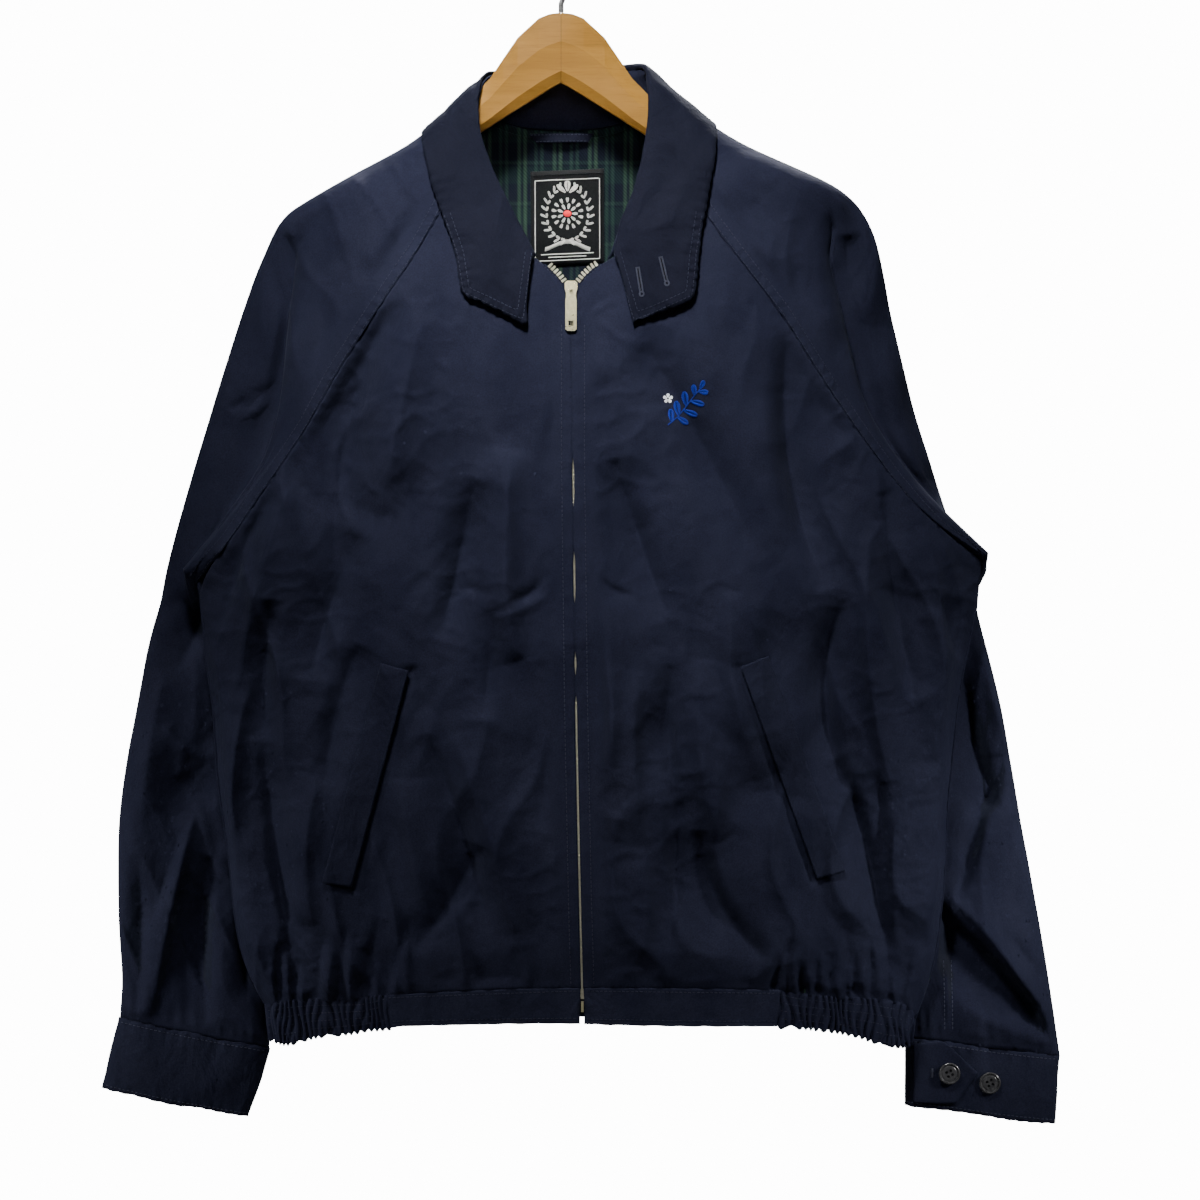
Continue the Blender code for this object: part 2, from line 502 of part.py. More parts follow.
def sleeve_surface(side, rows, columns):
    """Points of a sleeve at the given rows and columns of its key net."""
    keys = sleeve_keys(side)
    count = keys.shape[0]
    down = monotone(range(count), keys.reshape(count, -1), np.asarray(rows, float))
    down = down.reshape(len(rows), keys.shape[1], 3)
    grid = np.array([monotone(range(keys.shape[1]), net, np.asarray(columns, float)) for net in down])
    rows = np.asarray(rows, float)[:, None]
    columns = np.asarray(columns, float)[None, :]
    above = rows <= LAST_TOP_ROW
    seam_z = seam_heights(side, np.clip(rows, 0, LAST_TOP_ROW))
    gap = side * (SEAM / 2 + (UNDERARM_OPENING - SEAM / 2) * fade(rows - LAST_TOP_ROW + 1))
    wider = side * 0.5 * fade((rows - 8) / 2)
    near = np.where(above, 1 - fade(columns / 2), 0)
    shift_z = (seam_z - grid[:, :1, 2]) * near
    shift_x = (along(FRONT_SEAM[side], seam_z) + gap - grid[:, :1, 0]) * near
    grid[..., 0] += shift_x
    grid[..., 2] += shift_z
    on_front = np.where(above, 1 - fade(columns - 2), 0)
    skin = front_y(grid[..., 0], grid[..., 2])
    skin = np.where((rows >= LAST_TOP_ROW) & (columns == 0), grid[..., 1], skin)
    grid[..., 1] += (skin - grid[..., 1]) * on_front
    back_z = back_seam_heights(side, np.clip(rows, 0, LAST_TOP_ROW))
    last = keys.shape[1] - 1
    near_back = np.where(above, fade((columns - last + 1) / 1), 0)
    shift_x = (along(BACK_SEAM[side], back_z) + gap + wider - grid[:, -1:, 0]) * near_back
    grid[..., 0] += shift_x
    grid[..., 2] += (back_z - grid[:, -1:, 2]) * near_back
    skin = np.where(rows >= LAST_TOP_ROW, grid[:, -1:, 1], back_y(grid[:, -1:, 0], back_z))
    grid[..., 1] += (skin - grid[:, -1:, 1]) * near_back
    facing = fade((columns - 3.6) / 0.6) * (1 - fade((columns - 5.6) / 0.6))
    facing = np.where(above, facing, fade((columns + 0.5) / 2) * (1 - fade((columns - 5.4) / 0.6)))
    relief = fold_relief(grid[..., 0], grid[..., 2], SLEEVE_FOLDS[side])
    grid[..., 1] -= relief * facing
    behind = fade((columns - 6.6) / 0.8) * (1 - fade((columns - 8.4) / 0.6))
    grid[..., 1] += relief * behind * 0.6
    return grid


# ---------------------------------------------------------------- making solids
def material(name):
    made = bpy.data.materials.get(name)
    if made:
        return made
    colour, roughness, metallic = COLOURS[name]
    made = bpy.data.materials.new(name)
    made.use_nodes = True
    shader = made.node_tree.nodes["Principled BSDF"]
    shader.inputs["Base Color"].default_value = colour
    shader.inputs["Roughness"].default_value = roughness
    shader.inputs["Metallic"].default_value = metallic
    made.diffuse_color = colour
    return made


def finish_object(name, mesh, finish):
    mesh.materials.append(material(finish))
    made = bpy.data.objects.new(name, mesh)
    JACKET.objects.link(made)
    return made


def grid_triangles(grid, closed_from=None):
    """Triangles over a grid, cut along the shorter diagonals; rows from closed_from on also
    close round."""
    rows, columns = grid.shape[:2]
    made = []
    for i in range(rows - 1):
        spans = [(j, j + 1) for j in range(columns - 1)]
        if closed_from is not None and i >= closed_from:
            spans.append((columns - 1, 0))
        for j, n in spans:
            a, b, c, d = (i, j), (i, n), (i + 1, n), (i + 1, j)
            if np.linalg.norm(grid[a] - grid[c]) < np.linalg.norm(grid[b] - grid[d]):
                made += [(a, b, c), (a, c, d)]
            else:
                made += [(a, b, d), (b, c, d)]
    return made


def face_normals(grid, triangles):
    corners = [np.array([grid[t[k]] for t in triangles]) for k in range(3)]
    faces = np.cross(corners[1] - corners[0], corners[2] - corners[0])
    return faces / (np.linalg.norm(faces, axis=1, keepdims=True) + 1e-6)


def grid_normals(grid, outward, probe, closed_from=None):
    """Normals at the points of a grid."""
    triangles = grid_triangles(grid, closed_from)
    total = np.zeros(grid.shape)
    for triangle, face in zip(triangles, face_normals(grid, triangles)):
        for place in triangle:
            total[place] += face
    rows, columns = grid.shape[:2]
    sample = total[int((rows - 1) * probe[0]), int((columns - 1) * probe[1])]
    total *= np.sign(np.dot(sample, outward))
    return unit(total)


def lean_out(grid, normals, closed_from=None, least=0.15, rounds=3):
    """Turns the wall's directions until each leans away from every face round it."""
    triangles = grid_triangles(grid, closed_from)
    faces = face_normals(grid, triangles)
    agreed = sum(np.dot(face, normals[t[0]]) for t, face in zip(triangles, faces))
    faces *= np.sign(agreed)
    for _ in range(rounds):
        push = np.zeros(normals.shape)
        for triangle, face in zip(triangles, faces):
            for place in triangle:
                short = least - np.dot(face, normals[place])
                if short > 0:
                    push[place] += face * short
        normals = unit(normals + push)
    return normals


def wall_between(name, inner, outer, finish, closed_from=None):
    """A closed wall between two grids of the same size."""
    rows, columns = inner.shape[:2]
    mesh = bmesh.new()
    near = [[mesh.verts.new(Vector(p) * MM) for p in row] for row in inner]
    far = [[mesh.verts.new(Vector(p) * MM) for p in row] for row in outer]
    first_closed = rows if closed_from is None else closed_from

    for triangle in grid_triangles(inner, closed_from):
        mesh.faces.new([near[k][m] for k, m in triangle])
        mesh.faces.new([far[k][m] for k, m in reversed(triangle)])

    def rim(a, b):
        mesh.faces.new((near[a[0]][a[1]], near[b[0]][b[1]], far[b[0]][b[1]], far[a[0]][a[1]]))

    for i in range(rows - 1):
        if i < first_closed:
            rim((i + 1, 0), (i, 0))
            rim((i, columns - 1), (i + 1, columns - 1))
    for j in range(columns - 1):
        rim((0, j), (0, j + 1))
        rim((rows - 1, j + 1), (rows - 1, j))
    if first_closed < rows:
        rim((first_closed, columns - 1), (first_closed, 0))
        rim((rows - 1, 0), (rows - 1, columns - 1))
    bmesh.ops.recalc_face_normals(mesh, faces=mesh.faces[:])
    data = bpy.data.meshes.new(name)
    mesh.to_mesh(data)
    mesh.free()
    data.shade_smooth()
    return finish_object(name, data, finish)


def cloth(name, grid, finish="navy", thickness=CLOTH, outward=(0, -1, 0), probe=(0.5, 0.3),
          closed_from=None, normals=None):
    """A cloth wall grown outwards from a grid."""
    if normals is None:
        normals = grid_normals(grid, outward, probe, closed_from)
    return wall_between(name, grid, grid + normals * thickness, finish, closed_from)


def surface_finder(*names):
    """Finds y of the outermost front (or back) of some made pieces at a point x, z."""
    graph = bpy.context.evaluated_depsgraph_get()
    trees = [BVHTree.FromObject(bpy.data.objects[name], graph) for name in names]

    def find(x, z, side=-1):
        start = Vector((x * MM, side * 1.0, z * MM))
        hits = [tree.ray_cast(start, Vector((0, -side, 0))) for tree in trees]
        found = [hit[0].y / MM for hit in hits if hit[0] is not None]
        return (min(found) if side < 0 else max(found)) if found else None

    return find


def laid_on(x, z, find, clearance, side=-1, reach=3.0):
    """y for each point of a grid so that it clears the surface found round it."""
    y = np.zeros(x.shape)
    for place in np.ndindex(x.shape):
        found = [find(x[place] + dx, z[place] + dz, side)
                 for dx in (-reach, 0, reach) for dz in (-reach, 0, reach)]
        found = [value for value in found if value is not None]
        y[place] = (min(found) if side < 0 else max(found)) + side * clearance
    return y


def bilinear(corners, rows, columns):
    """x and z over a four-cornered patch: outer top, inner top, inner bottom, outer bottom."""
    a, b, c, d = (np.array(p, float) for p in corners)
    v = np.linspace(0, 1, rows + 1)[:, None, None]
    u = np.linspace(0, 1, columns + 1)[None, :, None]
    patch = (a * (1 - u) + b * u) * (1 - v) + (d * (1 - u) + c * u) * v
    return patch[..., 0], patch[..., 1]


# ---------------------------------------------------------------- body and sleeves
SLEEVE_COLUMNS = (0, .9, 1.08, 2, 2.5, 2.85, 3, 3.5, 4, 4.5, 5, 5.5, 6, 6.4, 7, 7.5, 8, 8.5, 9, 9.5, 10)
LOWER_ROWS = 11


def unit(vectors):
    return vectors / np.linalg.norm(vectors, axis=-1, keepdims=True)


def mitre(first, first_rows, second, second_rows):
    """Gives two edges that are sewn together the same direction for their walls."""
    rows = sorted(row for row in set(first_rows) & set(second_rows) if row < LAST_TOP_ROW)
    for row in rows:
        i, j = list(first_rows).index(row), list(second_rows).index(row)
        agree = np.clip(1.5 + 2 * np.dot(first[i], second[j]), 0, 1)
        shared = unit(first[i] + second[j] * agree)
        first[i] = second[j] = shared
    for mine, mine_rows, other, other_rows in ((first, first_rows, second, second_rows),
                                               (second, second_rows, first, first_rows)):
        for i, row in enumerate(mine_rows):
            if row not in rows and row < LAST_TOP_ROW:
                beside = np.array([np.interp(row, other_rows, other[:, k]) for k in range(3)])
                mine[i] = unit(mine[i] + beside * np.clip(np.dot(mine[i], beside), 0, 1))


def build_body_and_sleeves():
    places, below = panel_rows(LOWER_ROWS)
    panel_places = list(places) + list(LAST_TOP_ROW + 0.01 + below * 10)
    grids = {"back": back_panel(LOWER_ROWS, 18)}
    normals = {"back": grid_normals(grids["back"], (0, 1, 0), (0.5, 0.5))}
    sleeve_rows = {}
    for side in (RIGHT, LEFT):
        name = SIDE_NAME[side]
        grids["front_" + name] = front_panel(side, LOWER_ROWS, 15)
        normals["front_" + name] = grid_normals(grids["front_" + name], (0, -1, 0), (0.5, 0.3))
        last = LAST_TOP_ROW + 1 + len(SLEEVE_TUBE[side])
        rows = np.concatenate((np.arange(0, 14), np.linspace(13, last, 14)[1:]))
        sleeve_rows[side] = rows
        grid = sleeve_surface(side, rows, SLEEVE_COLUMNS)
        grids["sleeve_" + name] = grid
        normals["sleeve_" + name] = grid_normals(grid, (0, -1, 0), (0.2, 0.2), LAST_TOP_ROW)
    for side in (RIGHT, LEFT):
        name = SIDE_NAME[side]
        front, sleeve, back = (normals[k] for k in ("front_" + name, "sleeve_" + name, "back"))
        back_column = 0 if side == RIGHT else -1
        corner = len(places) - 1
        for _ in range(4):
            mitre(front[:, -1], panel_places, sleeve[:, 0], list(sleeve_rows[side]))
            mitre(back[:, back_column], panel_places, sleeve[:, -1], list(sleeve_rows[side]))
            front[:] = lean_out(grids["front_" + name], front)
            back[:] = lean_out(grids["back"], back)
            sleeve[:] = lean_out(grids["sleeve_" + name], sleeve, LAST_TOP_ROW)
        mitre(front[:, -1], panel_places, sleeve[:, 0], list(sleeve_rows[side]))
        mitre(back[:, back_column], panel_places, sleeve[:, -1], list(sleeve_rows[side]))
        for row in range(corner + 1, len(panel_places)):
            shared = unit(front[row, -1] + back[row, back_column])
            front[row, -1] = back[row, back_column] = shared
    for name in ("front_right", "front_left", "back"):
        normals[name][-1, :, 2] = 0
        normals[name] = unit(normals[name])
    for name, column in (("front_right", -1), ("front_left", -1), ("back", 0), ("back", -1)):
        normals[name][corner, column] *= CORNER_THINNING
    for name in ("front_right", "front_left", "back"):
        cloth(name, grids[name], normals=normals[name])
    for side in (RIGHT, LEFT):
        name = "sleeve_" + SIDE_NAME[side]
        normals[name][LAST_TOP_ROW, (0, -1)] *= CORNER_THINNING
        thickness = np.full(grids[name].shape[:2], CLOTH)
        thickness[:LAST_TOP_ROW, :2] += BAND_RISE
        thickness = thickness[..., None]
        cloth(name, grids[name], thickness=thickness, normals=normals[name],
              closed_from=LAST_TOP_ROW)
    return grids, {name: grids[name] + normals[name] * CLOTH for name in grids}


class Skin:
    """The outside of some walls, to lay other pieces on."""

    def __init__(self, skins):
        verts, faces = [], []
        for skin in skins:
            first, (rows, columns) = len(verts), skin.shape[:2]
            verts.extend(Vector(p) for p in skin.reshape(-1, 3))
            for i in range(rows - 1):
                for j in range(columns - 1):
                    a = first + i * columns + j
                    faces.append((a, a + 1, a + 1 + columns, a + columns))
        self.tree = BVHTree.FromPolygons(verts, faces)

    def push_out(self, grid, outward, clearance, rounds=4):
        """Moves points along their outward direction until they clear the skin."""
        moved = grid.copy()
        for place in np.ndindex(grid.shape[:2]):
            for _ in range(rounds):
                p, way = Vector(moved[place]), Vector(outward[place])
                hit = self.tree.find_nearest(p, clearance + 12.0)
                if hit[0] is None:
                    break
                normal = hit[1] if hit[1].dot(way) > 0 else -hit[1]
                height = (p - hit[0]).dot(normal)
                if height >= clearance or normal.dot(way) < 0.2:
                    break
                moved[place] += np.array(way) * (clearance - height) / normal.dot(way)
        return moved


def cuff_ring(side, drop):
    """The cuff's section: the sleeve's last one, moved down its slant by 0 to 1."""
    last = LAST_TOP_ROW + 1 + len(SLEEVE_TUBE[side])
    ring = sleeve_surface(side, (last - 0.01, last), SLEEVE_COLUMNS)[-1]
    middle = ring.mean(axis=0)
    narrowed = middle + (ring - middle) * (1 + (CUFF_NARROWING - 1) * drop)
    return narrowed + np.array((CUFF_DROP[side][0], 0, CUFF_DROP[side][1])) * drop


def build_cuffs():
    for side in (RIGHT, LEFT):
        name = SIDE_NAME[side]
        grid = np.array([cuff_ring(side, drop) for drop in (0.018, 0.34, 0.67, 1.0)])
        cloth("cuff_" + name, grid, thickness=DOUBLE_CLOTH, closed_from=0, probe=(0.3, 0.3))


# ---------------------------------------------------------------- hem
def hem_level(rim, level):
    """The body's lower rim, carried down to a level 0 to 1 of the hem and drawn in a little."""
    x, y, z = rim[..., 0], rim[..., 1], rim[..., 2]
    tall = along(HEM_LINE, x) - along(HEM_BOTTOM, x) - HEM_SEAM
    return points(12 + (x - 12) * (1 - 0.016 * level), y * (1 - 0.09 * level),
                  z - HEM_SEAM - tall * level)


def between(rim, low, high):
    """The part of a rim whose x lies between two values, with its ends."""
    order = rim[np.argsort(rim[:, 0])]
    inner = order[(order[:, 0] > low + 1) & (order[:, 0] < high - 1)]
    ends = [[np.interp(x, order[:, 0], order[:, k]) for k in range(3)] for x in (low, high)]
    return np.vstack((ends[:1], inner, ends[1:]))


def level_walls(grid, outward):
    """Normals of a hem piece, level where it meets the body."""
    normals = grid_normals(grid, outward, (0.5, 0.5))
    normals[..., 2] = 0
    return unit(normals)


def build_hem(grids):
    levels = (0.0, 0.35, 0.7, 1.0)
    back_rim = grids["back"][-1]
    for side in (RIGHT, LEFT):
        name = SIDE_NAME[side]
        front_rim = grids["front_" + name][-1]
        start, edge = ELASTIC_START[side], front_rim[-1, 0]
        low, high = sorted((start, edge))
        front = between(front_rim, low, high)
        back = between(back_rim, low, high)
        if side == LEFT:
            back = back[::-1]
        else:
            front = front[::-1]
        ring = np.vstack((front[:-1], back) if side == LEFT else (front[:-1], back))
        length = np.concatenate(((0,), np.cumsum(np.linalg.norm(np.diff(ring, axis=0), axis=1))))
        steps = 2 * int(length[-1] / GATHER_PITCH)
        even = np.linspace(SEAM, length[-1] - SEAM, steps + 1)
        even_ring = np.stack([np.interp(even, length, ring[:, k]) for k in range(3)], axis=-1)
        inner = np.array([hem_level(even_ring, level) for level in (0.0, 0.5, 1.0)])
        heading = np.gradient(inner, axis=1)
        outward = unit(np.stack((heading[..., 1], -heading[..., 0]), axis=-1)) * side
        ridge = np.where(np.arange(steps + 1) % 2 == 1, GATHER_HEIGHT, 0.0)
        crest = CLOTH + ridge * np.array((0.1, 1.0, 1.0))[:, None]
        outer = inner.copy()
        outer[..., 0] += outward[..., 0] * crest
        outer[..., 1] += outward[..., 1] * crest
        wall_between("hem_elastic_" + name, inner, outer, "navy")
        low, high = sorted((front_rim[0, 0], start - side * SEAM))
        rim = between(front_rim, low, high)
        grid = np.array([hem_level(rim, level) for level in levels])
        centre = along(ZIP_LINE, -800.0) + side * (ZIP_GAP + 1.3)
        column = 0 if side == LEFT else -1
        grid[1:, column, 0] = centre
        grid[0, column, 0] = front_rim[0, 0] + side * 0.8
        cloth("hem_band_" + name, grid, thickness=DOUBLE_CLOTH,
              normals=level_walls(grid, (0, -1, 0)))
    rim = between(back_rim, ELASTIC_START[RIGHT] + SEAM, ELASTIC_START[LEFT] - SEAM)
    grid = np.array([hem_level(rim, level) for level in levels])
    cloth("hem_band_back", grid, thickness=DOUBLE_CLOTH, normals=level_walls(grid, (0, 1, 0)))


# ---------------------------------------------------------------- collar and neck
def collar_stations(column):
    """A named column of the collar's table, from the right front round to the left front."""
    place = COLLAR_COLUMNS.index(column)
    rows = [row[place] for row in COLLAR[RIGHT]] + [row[place] for row in COLLAR[LEFT]][-2::-1]
    lift = {"seam": 0.0, "fold": 0.0, "outer": LEAF_LIFT}[column]
    return np.array([(x, front_y(x, z) - lift if y is None else y, z) for x, y, z in rows])


def collar_curve(column, at):
    stations = collar_stations(column)
    return monotone(range(len(stations)), stations, at)


def neck_edge(grids, side):
    """The neck's edge as it is made, from the zip's end to the middle of the back."""
    name = SIDE_NAME[side]
    front = grids["front_" + name][:, 0]
    start = FRONT_NECK[side][0][1]
    above = front[front[:, 2] > start + 1][::-1]
    order = front[::-1]
    first = [np.interp(start, order[:, 2], order[:, k]) for k in range(3)]
    back = grids["back"][0]
    back = back if side == RIGHT else back[::-1]
    half = back[:len(back) // 2 + 1]
    return np.vstack(([first], above, grids["sleeve_" + name][0], half[1:]))


def evenly(line, spacing):
    length = np.concatenate(((0,), np.cumsum(np.linalg.norm(np.diff(line, axis=0), axis=1))))
    places = np.linspace(0, length[-1], int(length[-1] / spacing) + 1)
    return np.stack([np.interp(places, length, line[:, k]) for k in range(3)], axis=-1)


def build_collar(grids, skins):
    count = len(COLLAR[RIGHT]) * 2 - 2
    at = np.linspace(0, count, count * 2 + 1)
    fold, outer = (collar_curve(column, at) for column in ("fold", "outer"))
    v = np.array((0.0, 0.12, 0.4, 0.7, 1.0))[:, None, None]
    leaf = fold + (outer - fold) * v
    middle = np.array((3.0, -4.0, 0.0))
    outward = outer - middle
    outward[:, 2] = 0
    outward = unit(outward)
    outward[:, 0] *= 0.35
    roll = LEAF_ROLL * np.sin(np.pi * v ** 0.6)
    leaf = leaf + outward * roll + np.array((0, 0, 0.8)) * (v == 0)
    outside = grid_normals(leaf, (0, -1, 0), (0.5, 0.1))
    leaf[1:] = Skin(skins).push_out(leaf[1:], outside[1:], LEAF_CLEARANCE)
    cloth("collar", leaf, thickness=DOUBLE_CLOTH, probe=(0.5, 0.1))
    right, left = (evenly(neck_edge(grids, side), 9.0) for side in (RIGHT, LEFT))
    seam = np.vstack((right, left[-2::-1]))
    fine = np.linspace(0, count, 801)
    drawn = collar_curve("seam", fine)
    nearest = [fine[np.linalg.norm(drawn - p, axis=1).argmin()] for p in seam]
    nearest = np.maximum.accumulate(nearest)
    nearest[0], nearest[-1] = 0, count
    nearest = np.interp(np.arange(len(seam)), *distinct(nearest))
    top = collar_curve("fold", nearest)
    inward = middle - seam
    inward[:, 2] = 0
    top = top + unit(middle - top) * (1, 1, 0) * 0.5
    foot = seam + unit(inward) * 0.9 + unit(top - seam) * 0.7
    w = np.array((0.0, 0.5, 0.94))[:, None, None]
    cloth("collar_stand", foot + (top - foot) * w, probe=(0.5, 0.1), outward=(0, 1, 0))


def distinct(values):
    """Places and values of a rising list without its repeats."""
    places = [0] + [k for k in range(1, len(values)) if values[k] > values[k - 1] + 0.02]
    if places[-1] != len(values) - 1:
        places[-1] = len(values) - 1
    return places, [values[k] for k in places]


def build_neck_pieces():
    find = surface_finder("back")
    u = np.linspace(0, 1, 9)[None, :]
    v = np.linspace(0, 1, 7)[:, None]
    low, high = -58.0, 62.0
    x = low + (high - low) * u + 0 * v
    z = (along(BACK_NECK, x) - 6.0) * (1 - v) - 320.0 * v
    y = np.array([[find(x[i, j], z[i, j], -1) for j in range(x.shape[1])]
                  for i in range(x.shape[0])], float)
    cloth("back_lining", points(x, y - 0.8, z), "tartan", thickness=1.0, probe=(0.5, 0.5))
    find = surface_finder("back", "back_lining")
    x, z = bilinear(((-23.0, -179.0), (33.0, -176.5), (33.2, -248.5), (-22.8, -251.0)), 5, 4)
    cloth("neck_label", points(x, laid_on(x, z, find, SEAM, reach=2.0), z), "label", thickness=1.0)
    x, z = bilinear(((-24.0, -150.5), (25.0, -150.0), (20.5, -157.0), (-18.0, -157.5)), 1, 10)
    y = laid_on(x, z, find, SEAM, reach=1.5)
    bow = np.sin(np.linspace(0, math.pi, x.shape[1]))[None, :] ** 0.6
    cloth("hanging_loop", points(x, y - 0.4 - 3.0 * bow, z), thickness=1.4)


# ---------------------------------------------------------------- pockets
def build_welts():
    for side in (RIGHT, LEFT):
        find = surface_finder("front_" + SIDE_NAME[side])
        x, z = bilinear(WELTS[side], 12, 3)
        y = laid_on(x, z, find, SEAM)
        cloth("pocket_welt_" + SIDE_NAME[side], points(x, y, z), thickness=WELT_THICKNESS)


# ---------------------------------------------------------------- cuff fastenings
def build_cuff_fastenings():
    for side, facing in ((LEFT, -1), (RIGHT, 1)):
        name = SIDE_NAME[side]
        find = surface_finder("cuff_" + name)
        shift = 0.0 if side == LEFT else -596.5
        tab = [(267.5, -843.0), (291.5, -841.0), (316.0, -865.0), (300.0, -888.0), (267.0, -887.0)]
        columns = 6
        v = np.linspace(0, 1, 7)
        right_edge = np.interp(v, (0, 0.5, 1), (291.5, 316.0, 300.0))
        top = np.interp(np.linspace(0, 1, columns + 1), (0, 1), (tab[0][1], tab[1][1]))
        bottom = np.full(columns + 1, tab[3][1])
        u = np.linspace(0, 1, columns + 1)[None, :]
        x = 268.0 + (right_edge[:, None] - 268.0) * u
        z = top[None, :] * (1 - v[:, None]) + bottom[None, :] * v[:, None]
        x = x + shift
        z = z + (0.0 if side == LEFT else 3.5) - 0.20 * (x - x.mean()) * (side == RIGHT)
        y = laid_on(x, z, find, SEAM, side=facing, reach=2.5)
        cloth("cuff_tab_" + name, points(x, y, z), thickness=CLOTH, outward=(0, facing, 0))
        finder = surface_finder("cuff_" + name, "cuff_tab_" + name)
        for number, (bx, bz) in enumerate(BUTTONS[side], start=1):
            reach = BUTTON_DIAMETER * 0.36
            heights = [finder(bx + dx, bz + dz, facing) for dx in (-reach, 0, reach)
                       for dz in (-reach, 0, reach)]
            seat = (min(heights) if facing < 0 else max(heights)) + facing * SEAM
            build_button("cuff_button_%s_%d" % (name, number), (bx, seat, bz), facing)


def build_button(name, seat, facing):
    """A turned button: a profile of radius and height, spun about its axis."""
    r, t = BUTTON_DIAMETER / 2, BUTTON_THICKNESS
    profile = ((0, 0), (r * .78, 0), (r, t * .45), (r * .97, t * .85), (r * .84, t), (r * .70, t * .8),
               (r * .62, t * .52), (0, t * .52))
    mesh = bmesh.new()
    verts = [mesh.verts.new((px * MM, 0, pz * MM)) for px, pz in reversed(profile)]
    edges = [mesh.edges.new(pair) for pair in zip(verts, verts[1:])]
    bmesh.ops.spin(mesh, geom=verts + edges, cent=(0, 0, 0), axis=(0, 0, 1), angle=math.tau,
                   steps=12, use_merge=True)
    bmesh.ops.remove_doubles(mesh, verts=mesh.verts[:], dist=1e-6)
    bmesh.ops.recalc_face_normals(mesh, faces=mesh.faces[:])
    data = bpy.data.meshes.new(name)
    mesh.to_mesh(data)
    mesh.free()
    made = finish_object(name, data, "button")
    made.location = Vector(seat) * MM
    made.rotation_euler = (math.pi / 2 if facing < 0 else -math.pi / 2, 0, 0)


# ---------------------------------------------------------------- zip
def zip_front(z):
    """y of the tapes' front face."""
    return front_y(along(ZIP_LINE, z), z) + SEAM


def build_zip():
    for side in (RIGHT, LEFT):
        places, below = panel_rows(LOWER_ROWS)
        rows = seam_heights(side, places)
        nominal = np.concatenate((rows, rows[-1] + (HEM_END - rows[-1]) * below))
        nominal = np.sort(np.concatenate((nominal[nominal < -256], (-254, -262, -272, -278, -284,
                                                                    -288))))[::-1][:, None]
        opened = fade((nominal + 272) / 12)
        centre = along(ZIP_LINE, nominal)
        inner = zip_edge(side, nominal) - side * 3.2 * opened
        inner = np.where(nominal < -270, centre + side * SEAM / 2, inner)
        outer = np.where(nominal > -284, zip_edge(side, nominal) + side * 8.0,
                         centre + side * ZIP_TAPE_WIDTH)
        u = np.array((0.0, 0.4, 1.0))[None, :]
        x = inner + (outer - inner) * u
        z = nominal + hem_shift(x, nominal)
        body = points(x, front_y(x, nominal), z)
        hem = np.array([hem_level(body[-1], level) for level in (0.1, 0.75)])
        grid = np.concatenate((body, hem))
        grid[..., 1] += SEAM + 0.3 + 1.0
        cloth("zip_tape_" + SIDE_NAME[side], grid, "tape", thickness=1.0)


def slider_frame():
    """The slider leans with the cloth: its middle, and its lean about X."""
    z = SLIDER_MIDDLE
    top, bottom = float(zip_front(z)), float(zip_front(z - PULL_TAB_SIZE[1]))
    lean = math.atan2(bottom - top, PULL_TAB_SIZE[1])
    return (float(along(ZIP_LINE, z)), float(zip_front(z)), z), lean


def prism(name, outline, across_axis, low, high):
    """Mesh of a flat outline carried along X or Y; the outline is given in the other two axes."""
    mesh = bmesh.new()
    ends = []
    for place in (low, high):
        if across_axis == "X":
            corners = [(place, y, z) for y, z in outline]
        else:
            corners = [(x, place, z) for x, z in outline]
        ends.append([mesh.verts.new(Vector(corner) * MM) for corner in corners])
    near, far = ends
    mesh.faces.new(near)
    mesh.faces.new(far[::-1])
    for k in range(len(outline)):
        n = (k + 1) % len(outline)
        mesh.faces.new((near[n], near[k], far[k], far[n]))
    bmesh.ops.recalc_face_normals(mesh, faces=mesh.faces[:])
    data = bpy.data.meshes.new(name)
    mesh.to_mesh(data)
    mesh.free()
    return data


def cut_with(made, kind, data):
    """Joins a shape to a solid, or takes it out of it."""
    cutter = bpy.data.objects.new(data.name, data)
    CUTTERS.objects.link(cutter)
    cutter.hide_render = True
    cutter.display_type = "WIRE"
    cut = made.modifiers.new("Cut", "BOOLEAN")
    cut.operation = kind
    cut.object = cutter
    cutter.parent = made


SLIDER_OUTLINE = ((-3.2, 7.25), (3.2, 7.25), (4.7, 5.6), (4.7, 1.5), (3.4, -2.5), (3.0, -7.25),
                  (-3.0, -7.25), (-3.4, -2.5), (-4.7, 1.5), (-4.7, 5.6))
SLIDER_THICKNESS = 2.2
BAIL_WIDTH = 1.8
BAIL_BAR = 1.1
BAIL_TOP = 5.8
BAIL_OPENING = (2.0, 4.4)      # depth and height inside the bail
TAB_SLOT = (3.2, 5.2)          # width and height of the slot that the bail passes through
TAB_CROSSBAR = 1.2


def place_in_slider(made, x, y, z, middle, lean):
    made.rotation_euler = (lean, 0, 0)
    turned = Vector((x, y * math.cos(lean) - z * math.sin(lean),
                     y * math.sin(lean) + z * math.cos(lean)))
    made.location = (Vector(middle) + turned) * MM


